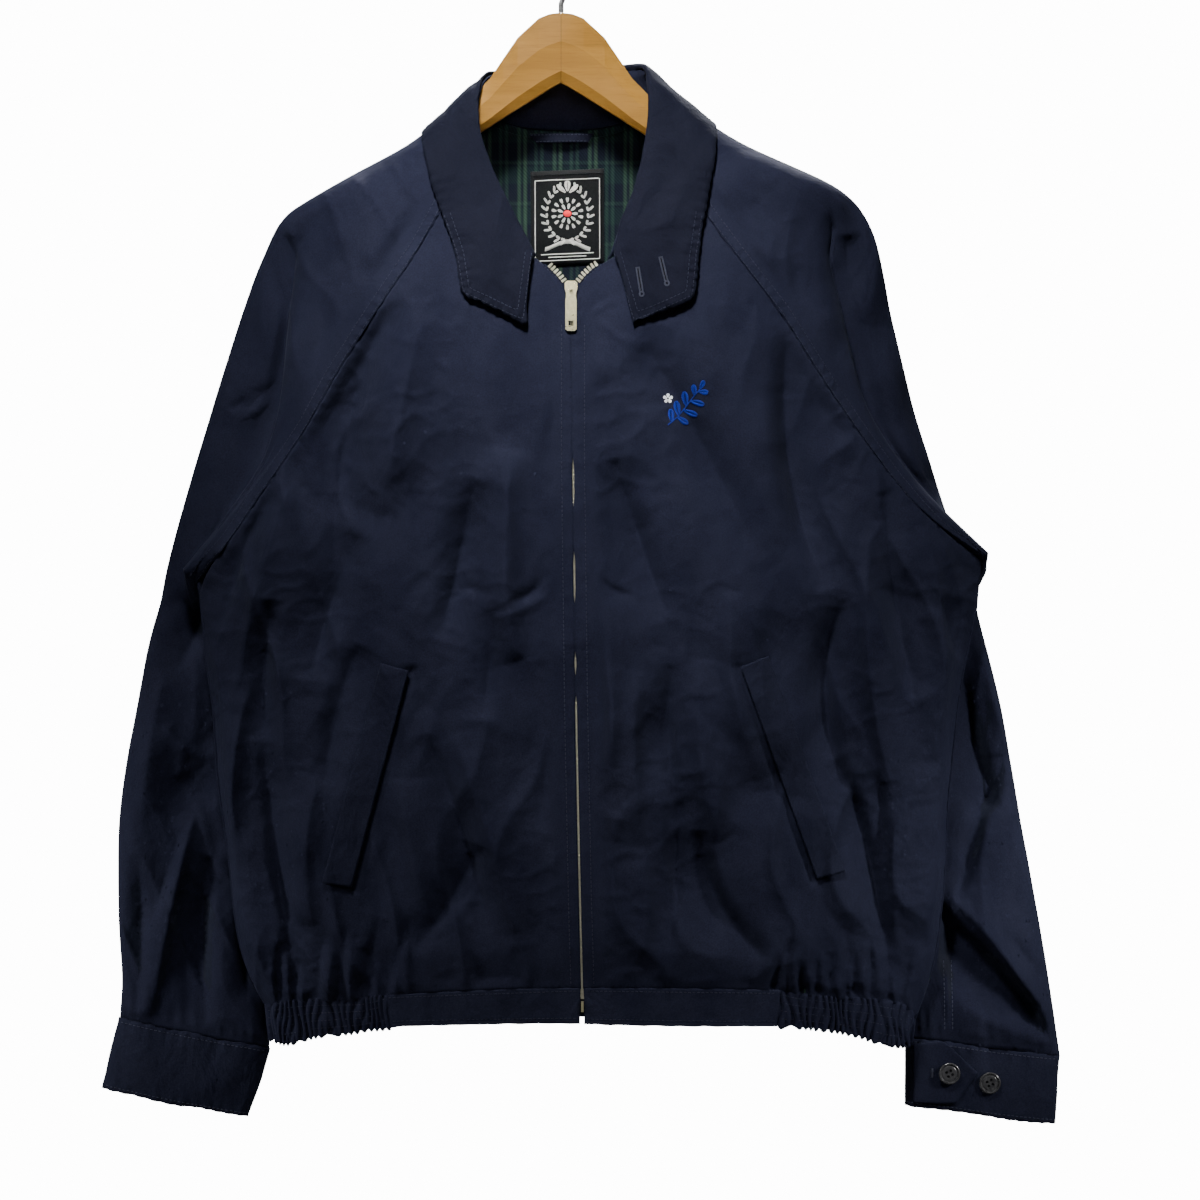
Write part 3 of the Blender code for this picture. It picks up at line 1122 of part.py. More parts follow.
def build_slider():
    middle, lean = slider_frame()
    plate = -SEAM - SLIDER_THICKNESS
    depth, opening = BAIL_OPENING
    root, reach = plate + 0.5, plate - depth - BAIL_BAR
    low = BAIL_TOP - opening - 2 * BAIL_BAR
    bail = ((root, BAIL_TOP), (reach + .4, BAIL_TOP), (reach, BAIL_TOP - .5), (reach, low + .5),
            (reach + .4, low), (root, low), (root, low + BAIL_BAR), (plate - depth, low + BAIL_BAR),
            (plate - depth, BAIL_TOP - BAIL_BAR), (root, BAIL_TOP - BAIL_BAR))
    slider = finish_object("zip_slider", prism("zip_slider", SLIDER_OUTLINE, "Y", plate, -SEAM),
                           "metal")
    cut_with(slider, "UNION", prism("slider_bail", bail, "X", -BAIL_WIDTH / 2, BAIL_WIDTH / 2))
    place_in_slider(slider, 0, 0, 0, middle, lean)
    width, length, thick = PULL_TAB_SIZE
    top, bottom = TAB_CROSSBAR / 2, TAB_CROSSBAR / 2 - length
    w = width / 2
    outline = ((-w + 1.6, top), (w - 1.6, top), (w - .4, top - 1.4), (w - .4, -7), (w, -9),
               (w, bottom + 1.5), (w - 1.5, bottom), (-w + 1.5, bottom), (-w, bottom + 1.5),
               (-w, -9), (-w + .4, -7), (-w + .4, top - 1.4))
    tab = finish_object("zip_pull_tab", prism("zip_pull_tab", outline, "Y", -thick / 2, thick / 2),
                        "metal")
    slot, tall = TAB_SLOT
    holes = ((slot / 2, -TAB_CROSSBAR / 2, -TAB_CROSSBAR / 2 - tall), (width * .22, -24.6, -28.4))
    for number, (half, high, low_end) in enumerate(holes):
        corners = ((-half, high), (half, high), (half, low_end), (-half, low_end))
        cut_with(tab, "DIFFERENCE", prism("tab_hole_%d" % number, corners, "Y", -3, 3))
    axis_z = BAIL_TOP - BAIL_BAR - opening + SEAM + TAB_CROSSBAR / 2
    place_in_slider(tab, 0, plate - depth / 2, axis_z, middle, lean)
    stop_z = -811.0
    stop_x = float(along(ZIP_LINE, stop_z))
    corners = ((-.95, 4), (.95, 4), (.95, -4), (-.95, -4))
    stop = finish_object("zip_stop", prism("zip_stop", corners, "Y", -2.4, 0), "metal")
    stop.location = Vector((stop_x, float(front_y(stop_x, -800.0)), stop_z)) * MM


# ---------------------------------------------------------------- hanger
def build_hanger():
    for side in (RIGHT, LEFT):
        rings = []
        for x, top, bottom, half in zip(*(HANGER[k] for k in ("x", "top", "bottom", "half"))):
            tall = top - bottom
            rings.append([(side * x + 0.5, y * half, z) for y, z in (
                (-.35, top), (.35, top), (1, top - tall * .42), (1, bottom + tall * .16),
                (.45, bottom), (-.45, bottom), (-1, bottom + tall * .16), (-1, top - tall * .42))])
        mesh = bmesh.new()
        verts = [[mesh.verts.new(Vector(p) * MM) for p in ring] for ring in rings]
        for near, far in zip(verts, verts[1:]):
            for k in range(len(near)):
                n = (k + 1) % len(near)
                mesh.faces.new((near[k], near[n], far[n], far[k]))
        mesh.faces.new(verts[0])
        mesh.faces.new(verts[-1])
        bmesh.ops.recalc_face_normals(mesh, faces=mesh.faces[:])
        name = "hanger_" + SIDE_NAME[side]
        data = bpy.data.meshes.new(name)
        mesh.to_mesh(data)
        mesh.free()
        finish_object(name, data, "wood")


def build_hook():
    radius = HOOK_RADIUS + HOOK_WIRE / 2
    centre_z = -HOOK_RADIUS
    route = [(0.5, HANGER["top"][0] + SEAM), (0.5, -54), (3, -47.5), (9, -42.5), (16, -36), (20.5, -28)]
    route += [(radius * math.cos(a), centre_z + radius * math.sin(a))
              for a in np.radians(np.linspace(0, 180, 13))]
    route += [(-radius + .8, centre_z - 6), (-radius + 3.5, centre_z - 11)]
    curve = bpy.data.curves.new("hanger_hook", "CURVE")
    curve.dimensions = "3D"
    curve.bevel_depth = HOOK_WIRE / 2 * MM
    curve.bevel_resolution = 2
    curve.use_fill_caps = True
    spline = curve.splines.new("POLY")
    spline.points.add(len(route) - 1)
    for point, (x, z) in zip(spline.points, route):
        point.co = (x * MM, 0, z * MM, 1)
    made = finish_object("hanger_hook", curve, "metal")
    return made


def clear_scene():
    for thing in list(bpy.data.objects):
        bpy.data.objects.remove(thing, do_unlink=True)


clear_scene()
JACKET = bpy.data.collections.new("harrington_jacket")
CUTTERS = bpy.data.collections.new("cutters")
bpy.context.scene.collection.children.link(JACKET)
bpy.context.scene.collection.children.link(CUTTERS)
GRIDS, SKINS = build_body_and_sleeves()
build_cuffs()
build_hem(GRIDS)
build_collar(GRIDS, list(SKINS.values()))
bpy.context.view_layer.update()
build_neck_pieces()
build_welts()
build_cuff_fastenings()
build_zip()
build_slider()
build_hanger()
build_hook()
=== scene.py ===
"""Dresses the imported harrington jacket: cloth with its creases, sewing, zip, buttons, label
and hanger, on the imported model's frame. Distances in the tables are in millimetres."""

import math

import bmesh
import bpy
import numpy as np
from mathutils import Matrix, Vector
from mathutils.bvhtree import BVHTree


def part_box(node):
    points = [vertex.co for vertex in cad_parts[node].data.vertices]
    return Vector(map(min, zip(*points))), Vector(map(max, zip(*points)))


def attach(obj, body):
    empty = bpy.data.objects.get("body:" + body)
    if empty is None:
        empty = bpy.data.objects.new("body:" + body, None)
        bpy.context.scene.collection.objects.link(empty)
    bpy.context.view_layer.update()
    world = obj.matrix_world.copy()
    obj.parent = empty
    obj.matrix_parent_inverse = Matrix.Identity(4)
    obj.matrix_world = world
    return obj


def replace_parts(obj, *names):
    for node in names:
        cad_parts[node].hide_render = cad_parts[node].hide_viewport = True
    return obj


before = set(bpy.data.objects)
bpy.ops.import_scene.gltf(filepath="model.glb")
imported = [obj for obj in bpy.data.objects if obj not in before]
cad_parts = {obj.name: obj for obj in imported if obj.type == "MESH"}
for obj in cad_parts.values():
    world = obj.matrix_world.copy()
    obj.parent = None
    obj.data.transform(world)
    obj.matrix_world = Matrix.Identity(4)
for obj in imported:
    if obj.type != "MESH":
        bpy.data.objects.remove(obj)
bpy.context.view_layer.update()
MM = 0.001
BODY = "jacket"
FRONT, REAR = -1, 1
SIDES = (("right", -1), ("left", 1))

# ---------------------------------------------------------------- tables
# The zip and the seams as z and x, the other lines as x and z, all from top to bottom or across.
ZIP_LINE = ((-245, 8), (-270, 8.2), (-404, 9.8), (-581, 12), (-731, 15), (-845, 17.6))
ZIP_SHOWS = ((-402, -434), (-472, -506), (-547, -560), (-580, -812))
ZIP_ARM = {"right": ((-247, 27.5), (-256, 18), (-262, 12), (-268, 5.4), (-284, 5.2)),
           "left": ((-249, 30.4), (-256, 19), (-262, 12.4), (-268, 5.6), (-284, 5.2))}
RAGLAN = {
    "right": ((-182, -73.5), (-215, -91), (-241, -105), (-291, -139), (-338, -169),
              (-375, -189), (-415, -216), (-430, -228), (-446, -237), (-462, -248),
              (-481, -265), (-494, -274)),
    "left": ((-187, 91.5), (-216, 109), (-251, 135), (-290, 165), (-347, 201), (-382, 225),
             (-416, 250), (-434, 265), (-447, 277), (-459, 290), (-467, 304), (-477, 318)),
}
BACK_SEAM = {
    "right": ((-134, -62), (-160, -76), (-215, -106), (-300, -160), (-380, -206), (-440, -240),
              (-475, -260), (-494, -274)),
    "left": ((-134, 66), (-160, 82), (-215, 118), (-300, 176), (-380, 232), (-435, 275),
             (-462, 300), (-477, 318)),
}
SIDE_SEAM = {
    "right": ((-494, -274), (-519, -270), (-590, -261), (-658, -256), (-734, -247),
              (-776, -238), (-800, -222), (-845, -216)),
    "left": ((-477, 318), (-511, 314), (-578, 300), (-658, 292), (-715, 290), (-776, 281),
             (-800, 268), (-845, 262)),
}
HEM_LINE = ((-222, -814), (-207, -810), (-187, -808), (-149, -807.5), (-130, -802.5),
            (-111, -801.5), (7, -797), (28, -797), (165, -799), (181, -803), (201, -805.5),
            (239, -808), (258, -812), (268, -823))
HEM_BOTTOM = ((-222, -838.5), (-209, -841), (-197, -838), (-187, -835), (-169, -833),
              (-149, -830.5), (-130, -827), (-105, -826), (7, -824), (28, -825), (126, -826.5),
              (165, -826.5), (187, -828), (210, -831), (229, -835), (247, -841), (268, -843))
WELT = {"right": ((-134, -553.5), (-113, -559), (-156, -721), (-178, -718)),
        "left": ((156, -548), (135, -556), (192.5, -715), (213.5, -709.5))}
CUFF_TOP = {"right": ((-334, -824), (-302, -831), (-268, -838), (-221, -847)),
            "left": ((262, -838.5), (296, -842), (331, -847), (379, -852.5))}
CUFF_DROP = {"right": (-14.2, -53.4), "left": (-2.4, -52.0)}
# The collar's leaves from the front corner round to the side of the neck: fold and outer edge.
LEAF = {
    "right": (((-19.5, -246), (-26, -299)), ((-29, -229), (-42, -292)), ((-39, -211), (-58, -284)),
              ((-48, -191), (-74, -277)), ((-56, -171), (-79, -246)), ((-61, -151), (-90, -214)),
              ((-62, -130), (-99, -183))),
    "left": (((39, -247), (54, -299)), ((44, -226), (70, -293)), ((51, -209), (86, -286)),
             ((58, -189), (101, -279)), ((63, -170), (104, -247)), ((66, -150), (109, -214)),
             ((67, -127), (114, -180))),
}
# The same edges on round the back of the neck, as x, y, z of fold and outer edge.
COLLAR_BACK = (((-62, -13, -130), (-99, -14, -183)), ((-57, 2, -108), (-105, 0, -150)),
               ((-46, 20, -104), (-92, 30, -155)), ((-24, 29, -105), (-52, 36, -168)),
               ((3, 32, -106), (3, 40, -174)), ((30, 29, -104), (58, 36, -167)),
               ((52, 20, -101), (103, 30, -152)), ((65, 2, -103), (117, 0, -145)),
               ((67, -13, -127), (114, -14, -180)))
LABEL_CORNERS = ((-23.0, -179.0), (33.0, -176.5), (33.2, -248.5), (-22.8, -251.0))
LOOP_CORNERS = ((-24.0, -150.5), (25.0, -150.0), (20.5, -157.0), (-18.0, -157.5))
BUTTONHOLES = (((58.2, -256.9), (61.6, -279)), ((75.4, -249), (80.6, -270.8)))
LEFT_TAB = ((267.5, -843), (291.5, -841), (316, -865), (300, -888), (267, -887))
HEM_SPAN = {"right": (-129, 13), "left": (20, 164)}
ELASTIC_SPAN = {"right": (-221, -131), "left": (166, 267)}
TEETH_TOP = {"right": -287.0, "left": -288.5}

# Creases: three points x, z of the bend, width, and height (troughs < 0).
FRONT_CREASES = (
    (-124, -274, -159, -374, -170, -484, 22, -3.5), (-102, -283, -121, -374, -137, -442, 24, 3),
    (-216, -420, -240, -476, -256, -530, 8, -5), (-199.5, -418, -223.5, -480, -247, -592, 9, 4),
    (-216, -506, -223, -566, -223, -611, 12, -6), (-152, -457, -175, -519, -186, -566, 16, -4),
    (-223.5, -607, -214, -701, -196, -806, 8, -5), (-230, -563, -246, -638, -244.5, -737, 9, 5),
    (-101, -607, -78, -667, -49, -769, 9, -5), (-79, -607, -54, -679, -30, -754, 14, 3.5),
    (-13, -551, -8, -619, -14, -679, 9, -4), (-47, -508, -53, -563, -56, -596, 12, -4),
    (-64, -416, -75, -476, -90, -536, 18, -4), (-34, -394, -41, -476, -30, -551, 18, 4),
    (64, -315, 103, -382, 151, -476, 18, -2.2), (172, -304, 172, -401, 199, -499, 14, -4.5),
    (214, -506, 200, -574, 214, -649, 10, -6), (208, -626, 231, -694, 249, -790, 10, -6),
    (234, -446, 231, -551, 251, -656, 11, 4.5), (243, -424, 253, -506, 266, -581, 10, -5),
    (273, -451, 289, -536, 281, -626, 12, 5), (289, -504, 292, -525, 304, -559, 6, -5),
    (84, -555, 82, -611, 90, -675, 9, -5), (90, -656, 87, -716, 84, -769, 8, -5.5),
    (105, -551, 105, -626, 120, -686, 14, 3.5), (104, -679, 121, -735, 156, -776, 14, -4.5),
    (40, -401, 60, -461, 81, -521, 14, -3.5), (30, -506, 37, -596, 34, -686, 14, 3.5),
    (238, -634, 244, -694, 246, -731, 7, -5), (-8, -485, -22, -502, -40, -508, 4, -2.2),
    (-4, -497, -26, -512, -52, -520, 4, 1.8), (28, -487, 40, -498, 56, -502, 4, -2),
    (-50, -505, -66, -498, -84, -508, 5, -2.5), (-150, -540, -168, -590, -176, -650, 12, -4),
    (-180, -640, -190, -690, -186, -750, 14, 3.5), (-60, -690, -80, -730, -110, -770, 12, -4),
    (130, -500, 128, -560, 150, -640, 14, 3.5), (60, -560, 56, -620, 62, -690, 9, 3.5),
    (60, -700, 66, -740, 60, -780, 10, 3), (-120, -640, -112, -690, -92, -760, 14, 3.5),
)
HEM_GATHERS = (
    (-212, -762, -213, -795, -214, -815, 6, -5), (-178, -762, -181, -791, -183, -815, 6, -5),
    (-161, -750, -164, -787, -166, -815, 6, -4.5), (-136, -744, -145, -784, -150, -815, 7, -5),
    (-111, -744, -124, -780, -132, -812, 7, -4.5), (-196, -776, -199, -796, -200, -815, 5, -4),
    (174, -760, 163, -784, 154, -803, 6, -5), (180, -776, 183, -795, 186, -811, 5, -5),
    (205, -770, 202, -795, 200, -813, 5, -5), (214, -750, 217, -784, 216, -813, 7, -5),
    (231, -744, 234, -784, 232, -815, 6, -5), (266, -766, 259, -795, 255, -817, 6, -5),
    (246, -774, 247, -796, 246, -815, 5, -4), (192, -770, 193, -794, 193, -811, 5, -4),
    (-205, -770, -206, -795, -207, -812, 4.5, 2.5), (-171, -768, -173, -790, -174, -812, 4.5, 2.5),
    (-150, -760, -156, -790, -158, -812, 4.5, 2.5), (197, -768, 197, -792, 196, -808, 4, 2.5),
    (223, -764, 225, -790, 224, -810, 4.5, 2.5), (170, -770, 174, -790, 176, -806, 4, 2.5),
)
BACK_CREASES = (
    (-60, -260, -95, -380, -150, -500, 20, -4), (75, -255, 110, -390, 175, -500, 20, -4),
    (-20, -300, -35, -480, -25, -640, 22, -3), (60, -420, 50, -560, 70, -720, 20, -4),
    (-120, -560, -105, -660, -125, -780, 16, -5), (150, -560, 170, -670, 150, -785, 16, -5),
    (-190, -470, -200, -540, -205, -620, 10, -5), (-170, -620, -168, -700, -180, -790, 10, -5),
    (225, -460, 235, -540, 240, -620, 10, -5), (215, -640, 218, -710, 228, -790, 10, -5),
    (-70, -690, -62, -740, -60, -795, 9, -4), (95, -690, 92, -740, 88, -795, 9, -4),
    (10, -640, 14, -720, 8, -795, 12, 4), (-210, -755, -211, -785, -212, -812, 6, -5),
    (-185, -758, -186, -785, -187, -812, 6, -5), (-160, -755, -161, -785, -160, -810, 6, -4.5),
    (180, -758, 182, -785, 183, -810, 6, -4.5), (205, -756, 208, -785, 208, -812, 6, -5),
    (232, -754, 238, -785, 240, -814, 6, -5), (-60, -380, -80, -470, -70, -560, 16, 3.5),
    (100, -380, 120, -470, 112, -580, 16, 3.5),
)
SLEEVE_CREASES = {
    "right": (
        (-252, -362, -232, -352, -212, -342, 5, 3.5), (-250, -374, -232, -364, -214, -352, 6, -3),
        (-258, -420, -268, -500, -292, -560, 12, -5),
        (-292, -640, -281, -652, -262, -660, 11, -2.5),
        (-277.5, -671, -290, -720, -312, -824, 7, 6), (-266, -700, -272, -760, -268, -830, 10, -6),
        (-300, -560, -312, -620, -318, -690, 12, 4), (-322, -700, -318, -760, -322, -820, 9, -5),
        (-246, -560, -240, -620, -246, -680, 10, -5), (-230, -700, -240, -750, -238, -810, 9, -5),
        (-300, -600, -286, -618, -262, -628, 8, 4), (-206, -230, -214, -300, -232, -380, 16, -5),
        (-240, -440, -250, -470, -262, -500, 7, -4), (-288, -680, -300, -720, -316, -760, 9, -4)),
    "left": (
        (216, -230, 232, -300, 262, -420, 14, -5), (246, -300, 262, -380, 280, -430, 10, -4),
        (304, -552, 317, -620, 330, -667, 10, -5), (318, -535, 330, -585, 338, -622, 10, 4),
        (334, -622, 330, -650, 308, -668, 9, -5), (322, -660, 312, -700, 300, -735, 8, -5),
        (292, -728, 336, -776, 376, -836, 5.5, 4.5), (310, -818, 336, -829, 374, -843, 4.5, 2.6),
        (338, -760, 352, -775, 366, -795, 7, -2.5), (345, -560, 350, -640, 352, -700, 10, -4),
        (294, -776, 294, -806, 294, -838, 3.5, 1.6), (276, -700, 280, -740, 284, -780, 8, -4)),
}
# The crest of each sleeve's head, as z and x, outside of which the cloth turns away.
SLEEVE_CREST = {"right": ((-195, -203), (-304, -210), (-394, -233), (-460, -262)),
                "left": ((-190, 212), (-304, 219), (-394, 252), (-460, 292))}
# The hollow under the large fold of the left sleeve, above its cuff.
SLEEVE_HOLLOW = ((286, -730), (318, -761), (346, -792), (364, -811), (373, -840), (329, -828),
                 (306, -819), (284, -800))


# From here on the seams are lines of points x, z.
for seams in (RAGLAN, BACK_SEAM, SIDE_SEAM):
    for side, rows in seams.items():
        seams[side] = [(x, z) for z, x in rows]


# ---------------------------------------------------------------- small tools
def fade(t):
    t = np.clip(t, 0, 1)
    return t * t * (3 - 2 * t)


def along(rows, at):
    rows = sorted(rows)
    return np.interp(at, [r[0] for r in rows], [r[1] for r in rows])


def from_line(line, x, z):
    """Distance from each point to a broken line of points x, z, and the place along it."""
    best = np.full(np.shape(x), 1e9)
    place = np.zeros(np.shape(x))
    start = 0.0
    for (ax, az), (bx, bz) in zip(line, line[1:]):
        dx, dz = bx - ax, bz - az
        long = math.hypot(dx, dz)
        t = np.clip(((x - ax) * dx + (z - az) * dz) / long ** 2, 0, 1)
        reach = np.hypot(x - ax - t * dx, z - az - t * dz)
        place = np.where(reach < best, start + t * long, place)
        best = np.minimum(best, reach)
        start += long
    return best, place


def inset(line, shift):
    """A broken line of points x, z moved to its left by a distance, or to its right."""
    line = np.array(line, float)
    ways = np.diff(line, axis=0)
    ways /= np.linalg.norm(ways, axis=1)[:, None]
    normals = np.stack((-ways[:, 1], ways[:, 0]), axis=1)
    moved = [line[0] + normals[0] * shift]
    for point, before, after in zip(line[1:-1], normals, normals[1:]):
        middle = before + after
        moved.append(point + middle * shift / max(middle @ middle / 2, 0.35))
    moved.append(line[-1] + normals[-1] * shift)
    return [tuple(p) for p in moved]


def creases(x, z, rows):
    """Height of the creases at each point: a crisp crest, steep on one side, soft on the other."""
    height = np.zeros(np.shape(x))
    for number, (x1, z1, x2, z2, x3, z3, width, tall) in enumerate(rows):
        near = ((x > min(x1, x2, x3) - 3 * width) & (x < max(x1, x2, x3) + 3 * width)
                & (z > min(z1, z2, z3) - 3 * width) & (z < max(z1, z2, z3) + 3 * width))
        if not near.any():
            continue
        t = np.linspace(0, 1, int(math.hypot(x3 - x1, z3 - z1) / 1.1) + 8)
        bend_x = x1 * (1 - t) ** 2 + (2 * x2 - (x1 + x3) / 2) * 2 * t * (1 - t) + x3 * t * t
        bend_z = z1 * (1 - t) ** 2 + (2 * z2 - (z1 + z3) / 2) * 2 * t * (1 - t) + z3 * t * t
        away_x, away_z = x[near][:, None] - bend_x, z[near][:, None] - bend_z
        apart = np.hypot(away_x, away_z)
        nearest = apart.argmin(axis=1)
        steep = away_x[np.arange(len(nearest)), nearest] * (1 if number % 3 else -1) > 0
        reach = apart.min(axis=1) / width / np.where(steep, 0.62, 1.45)
        shape = 0.5 * np.exp(-reach ** 2) + 0.5 * np.exp(-reach / 0.6)
        deep = tall * min(max(width / 8.0, 0.9), 2.0)
        height[near] += deep * np.sin(math.pi * t[nearest]) ** 0.7 * shape
    return height


def waves(x, z, seed, count, shortest, longest, lean=0.25):
    """Slow uneven waves, mostly upright, between -1 and 1."""
    rng = np.random.default_rng(seed)
    total = np.zeros(np.shape(x))
    for _ in range(count):
        length = rng.uniform(shortest, longest)
        turn = rng.normal(0, lean)
        phase = rng.uniform(0, math.tau)
        slow = rng.uniform(0.15, 0.45)
        total += np.sin(math.tau * (x * math.cos(turn) + z * math.sin(turn)) / length + phase
                        + 1.5 * np.sin(math.tau * z * slow / length + 2 * phase))
    return total / math.sqrt(count) / 1.4


def wrinkles(x, z, seed, shortest=26, longest=70):
    """A loose net of crisp little ridges, here and there, between 0 and about 1."""
    total = np.zeros(np.shape(x))
    for octave, share in ((0, 0.65), (1, 0.35)):
        shrink = 0.55 ** octave
        wave = waves(x, z, seed + octave, 6, shortest * shrink, longest * shrink, lean=0.9)
        total += share * np.maximum(0, 1 - 2.2 * np.abs(wave)) ** 1.3
    return total * (0.35 + 0.65 * fade(0.5 + waves(x, z, seed + 7, 4, 120, 260, lean=1.2)))


def drapes(x, z, seed):
    """Long, mostly upright folds with crisp crests, a few millimetres tall."""
    wave = waves(x, z, seed, 5, 60, 120, lean=0.16)
    return 4.2 * np.maximum(0, 1 - 1.7 * np.abs(wave)) ** 1.6 - 1.2


def facets(x, z, seed, cell, tall):
    """Crumples of folded cotton: a net of flat faces that meet in crisp edges."""
    rng = np.random.default_rng(seed)
    turn = rng.uniform(-0.35, 0.35)
    bent_u, bent_v = (0.42 * waves(x, z, seed + k, 4, 90, 200, 1.2) for k in (1, 2))
    u = (x * math.cos(turn) + z * math.sin(turn)) / cell + bent_u
    v = (z * math.cos(turn) - x * math.sin(turn)) / (1.7 * cell) + bent_v
    heights, turned = rng.uniform(-1, 1, (64, 64)), rng.random((64, 64)) < 0.5
    i, j = np.floor(u).astype(int) % 64, np.floor(v).astype(int) % 64
    u, v = u - np.floor(u), v - np.floor(v)
    low, right = heights[i, j], heights[(i + 1) % 64, j]
    left, high = heights[i, (j + 1) % 64], heights[(i + 1) % 64, (j + 1) % 64]
    one = np.where(u > v, low + u * (right - low) + v * (high - right),
                   low + v * (left - low) + u * (high - left))
    two = np.where(u + v < 1, low + u * (right - low) + v * (left - low),
                   high + (1 - u) * (left - high) + (1 - v) * (right - high))
    return tall * np.where(turned[i, j], one, two)


def hollow(corners, x, z, deep, soft):
    """A dent within a closed outline, steep at its edge."""
    line = list(corners) + [corners[0]]
    inside = np.zeros(np.shape(x), bool)
    for (ax, az), (bx, bz) in zip(line, line[1:]):
        if az != bz:
            inside ^= ((az > z) != (bz > z)) & (x < (bx - ax) * (z - az) / (bz - az) + ax)
    return deep * inside * fade(from_line(line, x, z)[0] / soft)


def pleats(x, above, seed, pitch, tall, reach):
    """Crisp upright gathers that fade out at a height above a gathered seam."""
    bent = 1.2 * np.sin(x / 17 + seed) + 0.7 * np.sin(x / 7.3 + 2 * seed)
    bent = bent + 0.5 * np.sin(above / 14)
    ridge = (1 - np.abs(np.sin(math.pi * x / pitch + bent))) ** 1.2
    uneven = 0.65 + 0.35 * np.sin(x / 9.1 + seed)
    return tall * ridge * fade(1 - above / (reach * uneven)) * fade((above + 1) / 5)


def puckers(line, x, z, reach, pitch, tall, seed):
    """Little ridges across a sewn line, as deep as tall beside it."""
    apart, place = from_line(line, x, z)
    uneven = np.sin(place / 17 + seed) * 1.7 + np.sin(place / 41 + 2 * seed)
    return tall * fade(1 - apart / reach) * np.sin(math.tau * place / pitch + uneven)


# ---------------------------------------------------------------- materials
def new_material(name):
    made = bpy.data.materials.new(name)
    made.use_nodes = True
    return made, made.node_tree


def give(tree, socket, value):
    """An input's value, or the output that it comes from."""
    if isinstance(value, bpy.types.NodeSocket):
        tree.links.new(value, socket)
    elif value is not None:
        socket.default_value = value


def node(tree, kind, *sources, out=0, **values):
    """An output of a new node. Its first inputs come in order, others by name, _ for a space."""
    made = tree.nodes.new(kind)
    for key, value in values.items():
        if key.replace("_", " ") in made.inputs:
            give(tree, made.inputs[key.replace("_", " ")], value)
        else:
            setattr(made, key, value)
    for socket, source in zip(made.inputs, sources):
        give(tree, socket, source)
    return made.outputs[out]


def finished(made, colour, normal=None, **values):
    """A material whose shader has its colour, its bump and its other values."""
    shader = made.node_tree.nodes["Principled BSDF"]
    for key, value in dict(values, Base_Color=colour, Normal=normal).items():
        give(made.node_tree, shader.inputs[key.replace("_", " ")], value)
    return made


def texture(tree, kind, scale, stretch=(1, 1, 1), turn=(0, 0, 0), **values):
    """A texture in the object's own coordinates."""
    where = node(tree, "ShaderNodeTexCoord", out="Object")
    spot = node(tree, "ShaderNodeMapping", where, Scale=stretch, Rotation=turn)
    return node(tree, "ShaderNodeTex" + kind, Vector=spot, Scale=scale, out="Fac", **values)


def ramp(tree, source, stops):
    made = tree.nodes.new("ShaderNodeValToRGB")
    elements = made.color_ramp.elements
    while len(elements) < len(stops):
        elements.new(0.5)
    for element, (at, colour) in zip(elements, stops):
        element.position = at
        element.color = (*colour, 1)
    tree.links.new(source, made.inputs[0])
    return made.outputs["Color"]


def blend(tree, kind, first, second, factor=1.0):
    mixed = tree.nodes.new("ShaderNodeMix")
    mixed.data_type, mixed.blend_type = "RGBA", kind
    mixed.inputs[0].default_value = factor
    for socket, value in ((6, first), (7, second)):
        give(tree, mixed.inputs[socket], (*value, 1) if isinstance(value, tuple) else value)
    return mixed.outputs[2]


def bump(tree, height, strength, distance, under=None):
    return node(tree, "ShaderNodeBump", Height=height, Strength=strength, Distance=distance,
                Normal=under, out="Normal")


def cloth_material(name, base, light, rough=0.78, weave=0.25, sheen=0.02, crumple=0.5):
    """Cotton twill: diagonal weave, mottling, lint, a faint nap, and crumples of three sizes."""
    made, tree = new_material(name)
    mottle = texture(tree, "Noise", 24.0, (1, 1, 0.55), Detail=4.0, Roughness=0.62)
    fleck = texture(tree, "Noise", 900.0, Detail=2.0, Roughness=0.7)
    lint = texture(tree, "Noise", 420.0, (1, 1, 0.5), Detail=2.0, Roughness=0.9, Distortion=3.0)
    flecks = ramp(tree, fleck, ((0.35, (0.72,) * 3), (0.7, (1.28,) * 3)))
    bits = ramp(tree, lint, ((0.79, (0, 0, 0)), (0.83, (0.05, 0.05, 0.06))))
    tone = ramp(tree, mottle, ((0.32, base), (0.72, light)))
    colour = blend(tree, "MULTIPLY", tone, flecks, 0.8)
    twill = texture(tree, "Wave", 330.0, turn=(0, math.radians(38), 0), wave_type="BANDS",
                    bands_direction="X", Distortion=1.2, Detail=1.0, Detail_Scale=2.0)
    soft = texture(tree, "Noise", 85.0, (1, 1, 0.6), Detail=3.0, Roughness=0.55)
    worn = texture(tree, "Noise", 30.0, (1, 1, 0.7), Detail=5.0, Roughness=0.6, Distortion=0.8)
    pressed = texture(tree, "Noise", 13.0, (1, 1, 0.5), noise_type="RIDGED_MULTIFRACTAL",
                      Detail=3.0, Roughness=0.45, Distortion=0.6)
    normal = bump(tree, twill, weave, 0.00022)
    for height, strength, distance in ((soft, crumple, 0.0009), (worn, crumple, 0.0035),
                                       (pressed, 0.9, 0.0085)):
        normal = bump(tree, height, strength, distance, normal)
    return finished(made, blend(tree, "ADD", colour, bits), normal, Roughness=rough,
                    Specular_IOR_Level=0.03, Sheen_Weight=sheen, Sheen_Roughness=0.5,
                    Sheen_Tint=(0.55, 0.62, 0.9, 1))


